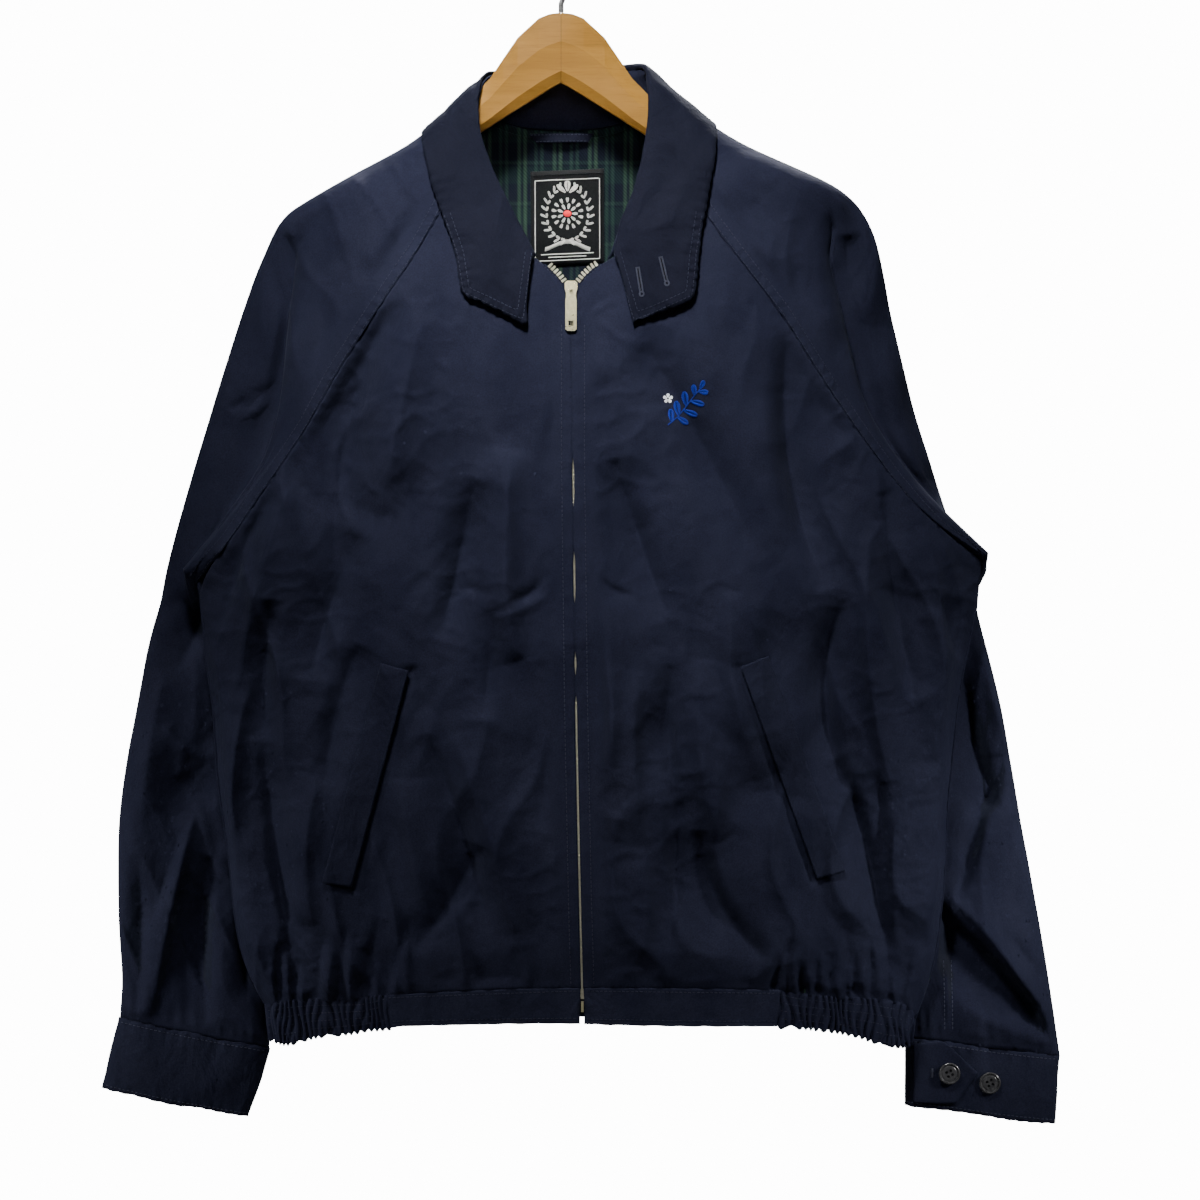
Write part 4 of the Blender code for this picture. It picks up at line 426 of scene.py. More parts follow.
def stripe(tree, axis, period, shift, width, soft):
    """1 on stripes of one axis of the object's coordinates, 0 between them."""
    where = node(tree, "ShaderNodeTexCoord", out="Object")
    apart = node(tree, "ShaderNodeSeparateXYZ", where, out=axis)
    turns = node(tree, "ShaderNodeMath", apart, 1 / (period * MM), shift + 100.0,
                 operation="MULTIPLY_ADD")
    part = node(tree, "ShaderNodeMath", turns, operation="FRACT")
    w, off, on = width / period, (0, 0, 0), (1, 1, 1)
    return ramp(tree, part, ((0.0, off), (soft, on), (w, on), (w + soft, off), (1.0, off)))


def tartan_material(name):
    """A dark check of navy and green, as on any hunting tartan."""
    made, tree = new_material(name)
    total = (0.0030, 0.0042, 0.0085)
    for colour, axis, period, shift, width, soft in (
            ((0.0010, 0.0040, 0.0016), 2, 31.0, 0.10, 13.0, 0.06),
            ((0.0110, 0.0220, 0.0105), 0, 27.0, 0.08, 2.6, 0.05),
            ((0.0090, 0.0190, 0.0090), 0, 27.0, 0.25, 2.6, 0.05),
            ((0.0045, 0.0110, 0.0060), 0, 27.0, 0.60, 2.4, 0.05),
            ((0.0045, 0.0110, 0.0060), 0, 27.0, 0.77, 2.4, 0.05),
            ((0.0035, 0.0085, 0.0045), 2, 31.0, 0.62, 2.6, 0.05)):
        mask = stripe(tree, axis, period, shift, width, soft)
        total = blend(tree, "ADD", total, blend(tree, "MULTIPLY", colour, mask))
    thread = texture(tree, "Wave", 260.0, wave_type="BANDS", bands_direction="DIAGONAL")
    shade = ramp(tree, thread, ((0.0, (0.7,) * 3), (1.0, (1.15,) * 3)))
    crumple = texture(tree, "Noise", 70.0, (1, 1, 0.4), Detail=3.0)
    normal = bump(tree, crumple, 0.7, 0.0015, bump(tree, thread, 0.3, 0.0002))
    return finished(made, blend(tree, "MULTIPLY", total, shade), normal, Roughness=0.8,
                    Specular_IOR_Level=0.05, Sheen_Weight=0.02)


def thread_material(name, colour, rough=0.6):
    made, tree = new_material(name)
    twist = texture(tree, "Noise", 2200.0, Detail=1.0)
    shade = ramp(tree, twist, ((0.3, tuple(c * 0.75 for c in colour)), (0.7, colour)))
    return finished(made, shade, Roughness=rough, Specular_IOR_Level=0.08, Sheen_Weight=0.02)


def metal_material(name, colour, rough):
    made, tree = new_material(name)
    wear = texture(tree, "Noise", 500.0, Detail=4.0, Roughness=0.7)
    shade = ramp(tree, wear, ((0.3, tuple(c * 0.72 for c in colour)), (0.6, colour)))
    rougher = ramp(tree, wear, ((0.3, (rough + 0.15,) * 3), (0.7, (rough,) * 3)))
    return finished(made, shade, Roughness=rougher, Metallic=1.0)


def wood_material(name):
    made, tree = new_material(name)
    grain = (0, 0.12, 0)
    rings = texture(tree, "Noise", 9.0, (1, 3, 9), grain, Detail=5.0, Roughness=0.55,
                    Distortion=0.6)
    pores = texture(tree, "Noise", 150.0, (0.35, 3, 6), grain, Detail=3.0, Roughness=0.6)
    tone = ramp(tree, rings, ((0.25, (0.132, 0.062, 0.009)), (0.5, (0.176, 0.086, 0.014)),
                              (0.75, (0.208, 0.104, 0.021))))
    marks = ramp(tree, pores, ((0.30, (0.80, 0.76, 0.70)), (0.48, (1, 1, 1))))
    return finished(made, blend(tree, "MULTIPLY", tone, marks, 0.8),
                    bump(tree, pores, 0.15, 0.0003), Roughness=0.42, Specular_IOR_Level=0.08)


def button_material(name):
    made, tree = new_material(name)
    swirl = texture(tree, "Noise", 160.0, Detail=4.0, Distortion=1.5)
    shade = ramp(tree, swirl, ((0.35, (0.016, 0.016, 0.018)), (0.7, (0.038, 0.038, 0.040))))
    return finished(made, shade, Roughness=0.2, Specular_IOR_Level=0.3)


NAVY = cloth_material("navy_twill", (0.0066, 0.0075, 0.0162), (0.0101, 0.0112, 0.0219))
# The collar's copy of the twill, also used on the hanging loop, is darker than the rest: painted
# shade, as the collar's leaves face up into the key light.
NAVY_BAND, NAVY_LEAF_PAINTED_SHADE, NAVY_HEM, NAVY_STAND, NAVY_WORN = (
    cloth_material("navy_twill_" + name, base, light, crumple=0.9) for name, base, light in (
        ("sewn", (0.0060, 0.0068, 0.0146), (0.0091, 0.0101, 0.0196)),
        ("collar", (0.0036, 0.0041, 0.0088), (0.0056, 0.0062, 0.0120)),
        ("hem", (0.0075, 0.0085, 0.0180), (0.0114, 0.0127, 0.0242)),
        ("stand", (0.0056, 0.0064, 0.0140), (0.0085, 0.0096, 0.0190)),
        ("edge", (0.0068, 0.0077, 0.0165), (0.0104, 0.0115, 0.0224))))
LINING = tartan_material("tartan_lining")
SLEEVE_LINING = cloth_material("sleeve_lining", (0.004, 0.005, 0.010), (0.006, 0.007, 0.014),
                               rough=0.6, weave=0.1, sheen=0.1)
TAPE = cloth_material("zip_tape", (0.005, 0.006, 0.013), (0.008, 0.010, 0.020), weave=0.6,
                      crumple=0.1)
LABEL = cloth_material("label_satin", (0.0045, 0.005, 0.005), (0.008, 0.0085, 0.0085),
                       rough=0.5, weave=0.3, sheen=0.05, crumple=0.2)
PALE_THREAD = thread_material("cuff_thread", (0.0270, 0.0300, 0.0500))
NAVY_THREAD = thread_material("navy_thread", (0.0155, 0.0172, 0.0320))
EDGE_THREAD = thread_material("buttonhole_thread", (0.032, 0.035, 0.054))
SILVER_THREAD = thread_material("silver_thread", (0.62, 0.62, 0.57))
RED_THREAD = thread_material("red_thread", (0.70, 0.02, 0.03), 0.5)
BLUE_THREAD = thread_material("blue_thread", (0.005, 0.016, 0.185))
WHITE_THREAD = thread_material("white_thread", (0.88, 0.89, 0.92), 0.5)
# Black thread, also laid as painted shade in the pocket slits, the buttonhole slits and the button
# holes.
BLACK_THREAD_AND_PAINTED_SHADE = thread_material("black_thread_and_painted_shade", (0.0025, 0.0025, 0.004), 0.8)
ZIP_METAL = metal_material("zip_metal", (0.52, 0.48, 0.30), 0.25)
TEETH_METAL = metal_material("zip_teeth_metal", (0.50, 0.48, 0.36), 0.32)
HOOK_METAL = metal_material("hook_metal", (0.60, 0.60, 0.60), 0.22)
WOOD = wood_material("varnished_beech")
WOOD_SEAM = thread_material("hanger_glue_line", (0.045, 0.020, 0.004))
BUTTON = button_material("black_button")


# ---------------------------------------------------------------- cloth from its solid
FORMS = {}
TREES = {}
SLOT_OF = {"back_lining": "tartan", "neck_label": "label", "zip_tape_right": "tape",
           "zip_tape_left": "tape"}
ARMPIT = -500
SHARP_CLOTH = math.radians(50)


def link_object(name, data):
    made = bpy.data.objects.new(name, data)
    bpy.context.scene.collection.objects.link(made)
    return made


def add_piece(name, mesh, slot, *materials):
    """A piece that rides on the jacket's body."""
    for material in materials:
        mesh.materials.append(material)
    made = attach(link_object(name, mesh), BODY)
    return made


def to_data(mesh, name):
    data = bpy.data.meshes.new(name)
    mesh.to_mesh(data)
    mesh.free()
    return data


def smooth(mesh):
    mesh.polygons.foreach_set("use_smooth", np.ones(len(mesh.polygons), bool))


def smooth_form(cad, levels):
    """A fine smooth mesh on a solid's form, whose cut edges stay crisp."""
    mesh = bmesh.new()
    mesh.from_mesh(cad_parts[cad].data)
    bmesh.ops.remove_doubles(mesh, verts=mesh.verts[:], dist=4e-6)
    bmesh.ops.join_triangles(mesh, faces=mesh.faces[:], angle_face_threshold=math.radians(45),
                             angle_shape_threshold=math.radians(100))
    crisp = mesh.edges.layers.float.new("crease_edge")
    for edge in mesh.edges:
        if len(edge.link_faces) == 2 and edge.calc_face_angle(0) >= math.radians(52):
            thin = min(e.calc_length() for face in edge.link_faces for e in face.edges)
            edge[crisp] = float(thin < 3.4 * MM)
    made = link_object(cad + "_form", to_data(mesh, cad + "_form"))
    rounded = made.modifiers.new("Round", "SUBSURF")
    rounded.levels = rounded.render_levels = levels
    rounded.boundary_smooth = "PRESERVE_CORNERS"
    bpy.context.view_layer.update()
    graph = bpy.context.evaluated_depsgraph_get()
    fine = bpy.data.meshes.new_from_object(made.evaluated_get(graph))
    bpy.data.objects.remove(made)
    return fine


def finer(mesh, longest, outer=None):
    """Halves the long edges of the faces that show, until none is longer than the limit."""
    fine = bmesh.new()
    fine.from_mesh(mesh)
    shown = fine.faces.layers.int.new("shown")
    for number, face in enumerate(fine.faces):
        face[shown] = 1 if outer is None else int(outer[number])
    bmesh.ops.triangulate(fine, faces=fine.faces[:])
    bmesh.ops.remove_doubles(fine, verts=fine.verts[:], dist=0.08 * MM)
    bmesh.ops.dissolve_degenerate(fine, edges=fine.edges[:], dist=0.05 * MM)
    for _ in range(5):
        long = [edge for edge in fine.edges if edge.calc_length() > longest * MM
                and any(face[shown] for face in edge.link_faces)]
        if not long:
            break
        bmesh.ops.subdivide_edges(fine, edges=long, cuts=1)
        bmesh.ops.triangulate(fine, faces=[face for face in fine.faces if len(face.verts) > 3])
    fine.to_mesh(mesh)
    fine.free()


def read(items, what):
    """A vector of each point or face of a mesh."""
    flat = np.empty(len(items) * 3)
    items.foreach_get(what, flat)
    return flat.reshape(-1, 3)


def read_points(mesh):
    return read(mesh.vertices, "co") / MM


def read_faces(mesh):
    """Centre of each face, in millimetres, and its direction."""
    return read(mesh.polygons, "center") / MM, read(mesh.polygons, "normal")


def broad_normals(mesh):
    """Directions of the points of a mesh of triangles, each face weighed by its area."""
    corners = np.empty(len(mesh.loops), int)
    mesh.loops.foreach_get("vertex_index", corners)
    corners = corners.reshape(-1, 3)
    a, b, c = (read_points(mesh)[corners[:, k]] for k in range(3))
    total = np.zeros((len(mesh.vertices), 3))
    for k in range(3):
        np.add.at(total, corners[:, k], np.cross(b - a, c - a))
    return total / np.maximum(np.linalg.norm(total, axis=1), 1e-9)[:, None]


def write_points(mesh, points):
    mesh.vertices.foreach_set("co", (points * MM).ravel())
    mesh.update()


def finish_cloth(name, mesh, cad, materials, slots=None):
    if slots is not None:
        mesh.polygons.foreach_set("material_index", slots.astype(np.int32))
    smooth(mesh)
    mesh.set_sharp_from_angle(angle=SHARP_CLOTH)
    FORMS[cad] = add_piece(name, mesh, SLOT_OF.get(cad, "navy"), *materials)
    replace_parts(FORMS[cad], cad)
    tree = bmesh.new()
    tree.from_mesh(mesh)
    TREES[cad] = BVHTree.FromBMesh(tree)
    tree.free()


def sides_fade(x, z, seams, across, down):
    """1 out on a body panel, 0 along its raglan seams and its side seams."""
    upper, lower = (np.minimum(*(from_line(table[side], x, z)[0] for side, _ in SIDES))
                    for table in (seams, SIDE_SEAM))
    return fade(upper / across) * fade(lower / down)


def front_relief(x, z):
    from_zip = np.abs(x - along(ZIP_LINE, z))
    above_hem = z - along(HEM_LINE, x)
    under_leaf = fade((x + 110) / 20) * fade((135 - x) / 20)
    open_cloth = sides_fade(x, z, RAGLAN, 12, 10) * fade((from_zip - 13) / 14)
    open_cloth *= fade((-z - 262 - 25 * under_leaf) / 45)
    relief = creases(x, z, FRONT_CREASES) * 1.7 + waves(x, z, 3, 5, 55, 130) * 1.3
    loose = 0.25 + 0.75 * np.maximum(fade((-z - 480) / 160), fade((np.abs(x - 20) - 130) / 80))
    relief += drapes(x, z, 101) * loose + facets(x, z, 201, 50, 3.6) * (0.35 + 0.65 * loose)
    relief = relief * open_cloth * fade((above_hem - 1) / 10)
    crumple = facets(x, z, 211, 23, 1.4) + wrinkles(x, z, 51) * 1.3
    relief += crumple * fade((from_zip - 11) / 9) * fade(above_hem / 8) * fade((-z - 250) / 40)
    for side, _ in SIDES:
        relief += puckers(RAGLAN[side], x, z, 10, 8.5, 0.25, 3)
    fly = [(zx, zz) for zz, zx in ZIP_LINE[1:]]
    relief += np.maximum(0, puckers(fly, x, z, 13, 19, 0.6, 5)) * fade((from_zip - 1) / 4)
    gathered = fade((-106 - x) / 18) + fade((x - 152) / 18)
    relief += pleats(x, above_hem, 1, 12.5, 4.2, 75) * gathered
    return relief + creases(x, z, HEM_GATHERS) * 1.2 * fade((above_hem + 2) / 6)


def back_relief(x, z):
    open_cloth = sides_fade(x, z, BACK_SEAM, 14, 12) * fade((-z - 185) / 60)
    above_hem = z - along(HEM_LINE, x)
    relief = creases(x, z, BACK_CREASES) * 1.2 + waves(x, z, 8, 5, 60, 140) * 1.5
    relief += drapes(x, z, 107) * (0.25 + 0.35 * fade((-z - 420) / 160))
    relief += facets(x, z, 221, 52, 3.6) + facets(x, z, 231, 24, 0.9) + wrinkles(x, z, 57) * 0.8
    gathered = fade((-96 - x) / 18) + fade((x - 142) / 18)
    relief += pleats(x, above_hem, 4, 12.5, 4.2, 75) * gathered
    return relief * open_cloth * fade((above_hem - 1) / 10)


def close_side(side, x, z):
    """How far the edge of a body panel leans over its side seam, against light in the seam."""
    apart = from_line(SIDE_SEAM[side], x, z)[0]
    return 1.5 * fade(1.3 - apart / 6) * fade((-z - 470) / 10)


def panel_mesh(cad, longest, face):
    """A body panel's mesh, finer outside, its points, and how far each looks inward."""
    mesh = smooth_form(cad, 2)
    finer(mesh, 8.0)
    finer(mesh, longest, read_faces(mesh)[1][:, 1] * face > -0.3)
    points = read_points(mesh)
    x, z = points[:, 0].copy(), points[:, 2].copy()
    return mesh, points, x, z, broad_normals(mesh)[:, 1] * -face


def finish_panel(name, mesh, cad, points, seams, face):
    """The panel with its lining's colour on the inner side, away from the seams."""
    write_points(mesh, points)
    centres, ways = read_faces(mesh)
    lined = sides_fade(centres[:, 0], centres[:, 2], seams, 8, 8) > 0.9
    slots = (ways[:, 1] * -face > 0.35) & lined
    finish_cloth(name, mesh, cad, (NAVY, LINING), slots)


def build_fronts():
    for side, sign in SIDES:
        mesh, points, x, z, inward = panel_mesh("front_" + side, 3.7, FRONT)
        from_zip, above_hem = np.abs(x - along(ZIP_LINE, z)), z - along(HEM_LINE, x)
        points[:, 1] -= front_relief(x, z)
        behind = sides_fade(x, z, RAGLAN, 20, 20) * (inward > 0.5)
        points[:, 1] += 1.4 * behind * fade((from_zip - 18) / 10) * fade(above_hem / 10)
        outer, inner, inner_low, outer_low = WELT[side]
        slit = from_line(inset([inner, inner_low], sign * -2.4), x, z)[0]
        edge = from_line(inset([inner, outer, outer_low, inner_low], -sign * 1.6), x, z)[0]
        points[:, 1] += 2.6 * np.exp(-(slit / 3.2) ** 2) + 0.9 * np.exp(-(edge / 2.2) ** 2)
        shows = np.zeros(len(x))
        for top, bottom in ZIP_SHOWS:
            shows = np.maximum(shows, fade((top - z) / 12 + .5) * fade((z - bottom) / 12 + .5))
        shift = -0.2 * shows - 1.1 * (1 - shows)
        points[:, 0] += sign * shift * fade(1 - (from_zip - 1) / 5) * fade((-z - 296) / 10)
        points[:, 2] -= 0.5 * fade(1 - above_hem / 6)
        points[:, 1] += close_side(side, x, z)
        finish_panel("front_cloth_" + side, mesh, "front_" + side, points, RAGLAN, FRONT)


def build_back():
    mesh, points, x, z, inward = panel_mesh("back", 4.6, REAR)
    points[:, 1] += back_relief(x, z)
    inner = sides_fade(x, z, BACK_SEAM, 20, 20) * (inward > 0.5)
    points[:, 1] -= 1.4 * inner * fade((z - along(HEM_LINE, x)) / 10) * fade((-z - 260) / 40)
    points[:, 1] -= close_side("right", x, z) + close_side("left", x, z)
    finish_panel("back_cloth", mesh, "back", points, BACK_SEAM, REAR)


def sleeve_axis(points):
    """The middle x and y of a sleeve at each height."""
    z = points[:, 2]
    levels = np.arange(z.min() + 4, z.max() - 4, 8)
    middles = []
    for level in levels:
        band = points[np.abs(z - level) < 8]
        middles.append([(band[:, k].min() + band[:, k].max()) / 2 for k in (0, 1)])
    middles = np.array(middles)
    return lambda at: np.stack([np.interp(at, levels, middles[:, k]) for k in (0, 1)], axis=1)


def looks_out(mesh, axis):
    """How far each face of a sleeve looks away from its middle, with its centre and direction."""
    centres, ways = read_faces(mesh)
    away = centres[:, :2] - axis(centres[:, 2])
    return (away * ways[:, :2]).sum(axis=1), centres, ways


def build_sleeves():
    for side, sign in SIDES:
        raglan, back = RAGLAN[side], BACK_SEAM[side]
        mesh = smooth_form("sleeve_" + side, 2)
        axis = sleeve_axis(read_points(mesh))
        finer(mesh, 4.0, looks_out(mesh, axis)[0] > 0)
        points = read_points(mesh)
        x, y, z = points.T.copy()
        seam, behind = from_line(raglan, x, z)[0], from_line(back, x, z)[0]
        from_middle = y - axis(z)[:, 1]
        half = fade(np.abs(from_middle) / 7) * np.sign(from_middle)
        below = fade((-z + ARMPIT - 5) / 20)
        to_cuff = z - along(CUFF_TOP[side], x)
        free = fade((seam - 10) / 10) * fade(behind / 14) * (1 - below) + below
        free = free * fade((to_cuff - 2) / 8)
        gathers = pleats(x, to_cuff, 2 + sign, 11.0, 1.9, 42) * fade((to_cuff - 1) / 9)
        folds = creases(x, z, SLEEVE_CREASES[side])
        front = folds * 1.5 + waves(x, z, 11 + sign, 5, 45, 110) * 1.3
        front += facets(x, z, 241 + 5 * sign, 42, 4.2) + facets(x, z, 261 + 5 * sign, 21, 1.3)
        front += drapes(x, z, 113 + sign) * 0.5 + wrinkles(x, z, 63 + sign) * 0.8
        turned = np.maximum(0, sign * (x - along(SLEEVE_CREST[side], z)))
        front -= 10 * (1 - np.exp(-turned / 16)) * fade((z - ARMPIT) / 90)
        if side == "left":
            from_ridge = from_line(SLEEVE_HOLLOW[:5], x, z)[0]
            front -= hollow(SLEEVE_HOLLOW, x, z, 14, 11) * np.clip(1.1 - from_ridge / 44, 0, 1)
        rear = folds * 1.2 + waves(x, z, 21 + sign, 5, 50, 110) * 2.0
        rear += facets(x, z, 281 + 5 * sign, 42, 3.0) + wrinkles(x, z, 73 + sign)
        points[:, 1] += half * (np.where(half < 0, front, rear) * free + gathers)
        band = puckers(raglan, x, z, 12, 8.5, 0.45, 2) * (1 - below)
        points[:, 1] -= np.where(half < 0, band, 0)
        points[:, 2] -= 0.6 * fade(1 - to_cuff / 6)
        write_points(mesh, points)
        out, centres, ways = looks_out(mesh, axis)
        inward = (out < 0) & (centres[:, 2] < ARMPIT)
        sewn = from_line(raglan, centres[:, 0], centres[:, 2])[0] < 9.2
        sewn &= (ways[:, 1] < 0) & (centres[:, 2] > ARMPIT)
        finish_cloth("sleeve_cloth_" + side, mesh, "sleeve_" + side,
                     (NAVY, SLEEVE_LINING, NAVY_WORN), inward.astype(int) + 2 * sewn)


# Each smaller piece: how often its faces are divided, its longest edge (mm) or 0, its material.
PLAIN_CLOTH = (
    ("cuff_right", 2, 3.6, NAVY_HEM), ("cuff_left", 2, 3.6, NAVY_HEM),
    ("collar", 2, 3.4, NAVY_LEAF_PAINTED_SHADE), ("collar_stand", 1, 0, NAVY_STAND),
    ("hem_band_right", 3, 0, NAVY_HEM), ("hem_band_left", 3, 0, NAVY_HEM),
    ("hem_band_back", 3, 0, NAVY_HEM),
    ("hem_elastic_right", 2, 2.2, NAVY), ("hem_elastic_left", 2, 2.2, NAVY),
    ("cuff_tab_right", 2, 0, NAVY), ("cuff_tab_left", 2, 0, NAVY),
    ("pocket_welt_right", 2, 2.6, NAVY_BAND), ("pocket_welt_left", 2, 2.6, NAVY_BAND),
    ("back_lining", 2, 4.5, LINING), ("neck_label", 2, 0, LABEL),
    ("hanging_loop", 3, 0, NAVY_LEAF_PAINTED_SHADE), ("zip_tape_right", 1, 0, TAPE),
    ("zip_tape_left", 1, 0, TAPE))


def cuff_bottom(side):
    across, down = CUFF_DROP[side]
    return [(x + across, z + down) for x, z in CUFF_TOP[side]]


def shape_hem(cad, points, normals, x, z):
    """Lengthens a hem piece against light in its seams, and ruches or crumples it."""
    middle, half = (x.min() + x.max()) / 2, (x.max() - x.min()) / 2
    points[:, 0] += 0.7 * np.sign(x - middle) * fade((np.abs(x - middle) - half + 6) / 6)
    elastic = "elastic" in cad
    points[:, 2] += (1.7 if elastic else 0.5) * fade((z - along(HEM_LINE, x) + 5) / 5)
    if elastic:
        bent = 1.7 * np.sin(x / 11) + 0.9 * np.sin(z / 6 + x / 5) + 0.7 * np.sin(x / 3.7)
        ruched = np.abs(np.sin(math.pi * x / 5.4 + bent)) ** 0.8
        points += normals * (2.5 * ruched - 1.6)[:, None]
        points[:, 2] -= ruched * fade(1 - (z - along(HEM_BOTTOM, x)) / 6)
    else:
        points += normals * (waves(x, z, 61, 6, 12, 30) * 0.3)[:, None]


def shape_cuff(side, points, normals, x, z):
    bend = puckers(cuff_bottom(side), x, z, 14, 9.5, 0.3, 1)
    bend += puckers(CUFF_TOP[side], x, z, 20, 10, 0.35, 4)
    bend += facets(x, z, 311, 26, 1.3) + facets(x, z, 317, 13, 0.5)
    points += normals * bend[:, None]
    points[:, 2] += 0.3 * np.sin(x / 9.5 + 1.5 * np.sin(x / 21))
    points[:, 2] += 0.6 * fade((z - along(CUFF_TOP[side], x) + 5) / 5)


def shape_collar(points, normals, x, z):
    crumple = facets(x, z, 301, 30, 2.2) + facets(x, z, 307, 15, 0.9) + wrinkles(x, z, 91) * 0.9
    for side, _ in SIDES:
        edge = [outer for _, outer in LEAF[side]]
        crumple += puckers(edge, x, z, 16, 7.0, 0.5, 2) * fade((-points[:, 1] - 8) / 8)
    points += normals * crumple[:, None]


def build_plain_cloth():
    for cad, levels, longest, material in PLAIN_CLOTH:
        mesh = smooth_form(cad, levels)
        if longest:
            finer(mesh, longest)
        points, normals = read_points(mesh), read(mesh.vertices, "normal")
        x, z = points[:, 0].copy(), points[:, 2].copy()
        if cad.startswith("hem_"):
            shape_hem(cad, points, normals, x, z)
        if cad in ("cuff_right", "cuff_left"):
            shape_cuff(cad[5:], points, normals, x, z)
        if cad == "collar":
            shape_collar(points, normals, x, z)
        if cad.startswith("pocket_welt"):
            points[:, 1] -= front_relief(x, z) + 0.5
        if cad in ("back_lining", "neck_label"):
            points[:, 1] += back_relief(x, z)
        if cad == "back_lining":
            pinch = np.exp(-((x - 2) / 26) ** 2) * fade((z + 185) / 40)
            points[:, 1] -= 1.1 * pinch * np.sin(math.tau * x / 7.0)
            points[:, 1] -= 0.5 * waves(x, z, 5, 5, 14, 40)
        write_points(mesh, points)
        finish_cloth(cad + "_cloth", mesh, cad, (material,))


build_fronts()
build_back()
build_sleeves()
build_plain_cloth()


# ---------------------------------------------------------------- thread
PITCH = 3.3            # from one stitch to the next
NEAR, FAR = 1.9, 6.6   # the two rows of stitches beside an edge
SLIM, PLAIN, STOUT = 0.28, 0.30, 0.42   # radius of a thread


def met(cad, start, way, reach=10.0):
    hit, normal, _, _ = TREES[cad].ray_cast(start, way, reach)
    return (hit, normal) if hit else None


def drop(cad, x, z, side=FRONT):
    """Where a needle pushed in from the front or from behind meets a piece of cloth."""
    return met(cad, Vector((x * MM, side * 0.25, z * MM)), Vector((0, -side, 0)))


def drop_round(cad, point):
    """The same, from outside the neck towards its middle."""
    out = Vector((point[0] - 8, point[1] + 5, 0)).normalized()
    return met(cad, Vector(point) * MM + out * 0.05, -out, 0.1)


def joining(one, other, longest=1.0):
    """A stitch between two places, as its ends and direction, in a list that may be empty."""
    if one and other and (one[0] - other[0]).length < longest:
        return [(one[0], other[0], one[1])]
    return []


def cut_line(line, pitch):
    """Points every pitch along a broken line."""
    line = np.array(line, float)
    steps = np.concatenate(([0], np.cumsum(np.linalg.norm(np.diff(line, axis=0), axis=1))))
    at = np.arange(0, steps[-1], pitch)
    return np.stack([np.interp(at, steps, line[:, k]) for k in range(line.shape[1])], axis=1)


def stitch_row(cad, line, side=FRONT, pitch=PITCH, share=0.74):
    """The stitches of a row sewn along a line of points x, z."""
    found = []
    points = cut_line(line, pitch)
    for here, after in zip(points, points[1:]):
        there = here + (after - here) * share
        found += joining(drop(cad, *here, side), drop(cad, *there, side), 1.6 * pitch * share * MM)
    return found


def strands(name, rows, radius, material, slot="navy", lift=0.3, flat=0.8):
    """One mesh of many short threads, each sunk at its two ends."""
    start, end, up = (np.array([row[k][:] for row in rows]) for k in range(3))
    way = end - start
    way /= np.maximum(np.linalg.norm(way, axis=1), 1e-9)[:, None]
    up = up - way * (up * way).sum(axis=1)[:, None]
    up /= np.maximum(np.linalg.norm(up, axis=1), 1e-9)[:, None]
    across = np.cross(way, up)
    r = radius * MM
    points = [start - up * r * 0.5]
    for t in (0.16, 0.84):
        middle = start + (end - start) * t + up * r * lift
        for k in range(6):
            a = math.tau * k / 6
            points.append(middle + across * r * math.cos(a) + up * r * flat * math.sin(a))
    points.append(end - up * r * 0.5)
    faces = []
    for k in range(6):
        n = (k + 1) % 6
        faces += [(0, 1 + n, 1 + k), (1 + k, 1 + n, 7 + n, 7 + k), (13, 7 + k, 7 + n)]
    every = [tuple(14 * row + i for i in face) for row in range(len(rows)) for face in faces]
    mesh = bpy.data.meshes.new(name)
    mesh.from_pydata(np.stack(points, axis=1).reshape(-1, 3).tolist(), [], every)
    mesh.update()
    smooth(mesh)
    add_piece(name, mesh, slot, material)


def chain(cad, line, pitch=2.0):
    """A long thread laid on cloth, as short lengths that run into each other."""
    spots = [drop(cad, *point) for point in cut_line(line, pitch)]
    found = []
    for here, after in zip(spots, spots[1:]):
        for one, other, up in joining(here, after, 2.5 * pitch * MM):
            middle, half = (one + other) / 2, (other - one) * 1.35 / 2
            found.append((middle - half, middle + half, up))
    return found


def hem_run(table, low, high, shift):
    return [(x, float(along(table, x)) + shift) for x in np.linspace(low, high, 24)]


def two_hem_rows(cad, low, high, side):
    return (stitch_row(cad, hem_run(HEM_LINE, low, high, -2.3), side)
            + stitch_row(cad, hem_run(HEM_BOTTOM, low, high, 4.2), side))


def sew_front(side, sign):
    front = "front_" + side
    fly = [(x + sign * 8.6, z) for z, x in ZIP_LINE if z < -280]
    fly = [(fly[0][0], -300)] + fly[:-1] + [(fly[-1][0] - 0.7, -797)]
    arm = [(float(along(ZIP_LINE, z)) + sign * (away + 1.6), z) for z, away in ZIP_ARM[side][:4]]
    outer, inner, inner_low, outer_low = WELT[side]
    round_welt = [inner, outer, outer_low, inner_low]
    edge = stitch_row(front, inset(round_welt, -sign * 1.6), share=0.85)
    strands("welt_edge_stitches_" + side, edge, STOUT, EDGE_THREAD)
    rows = stitch_row(front, fly) + stitch_row(front, arm, pitch=2.6)
    strands("front_stitches_" + side, rows, SLIM, NAVY_THREAD)
    strands("neck_piping_" + side, chain(front, [(x - sign * 1.2, z) for x, z in arm], 1.5),
            0.55, NAVY_WORN)
    # The pocket's opening: a dark sunk thread along the welt's inner edge, painted shade in the
    # slit.
    strands("pocket_slit_painted_shade_" + side, chain(front, inset([inner, inner_low], sign * 0.9)), 1.0,
            BLACK_THREAD_AND_PAINTED_SHADE, lift=-0.4, flat=0.5)


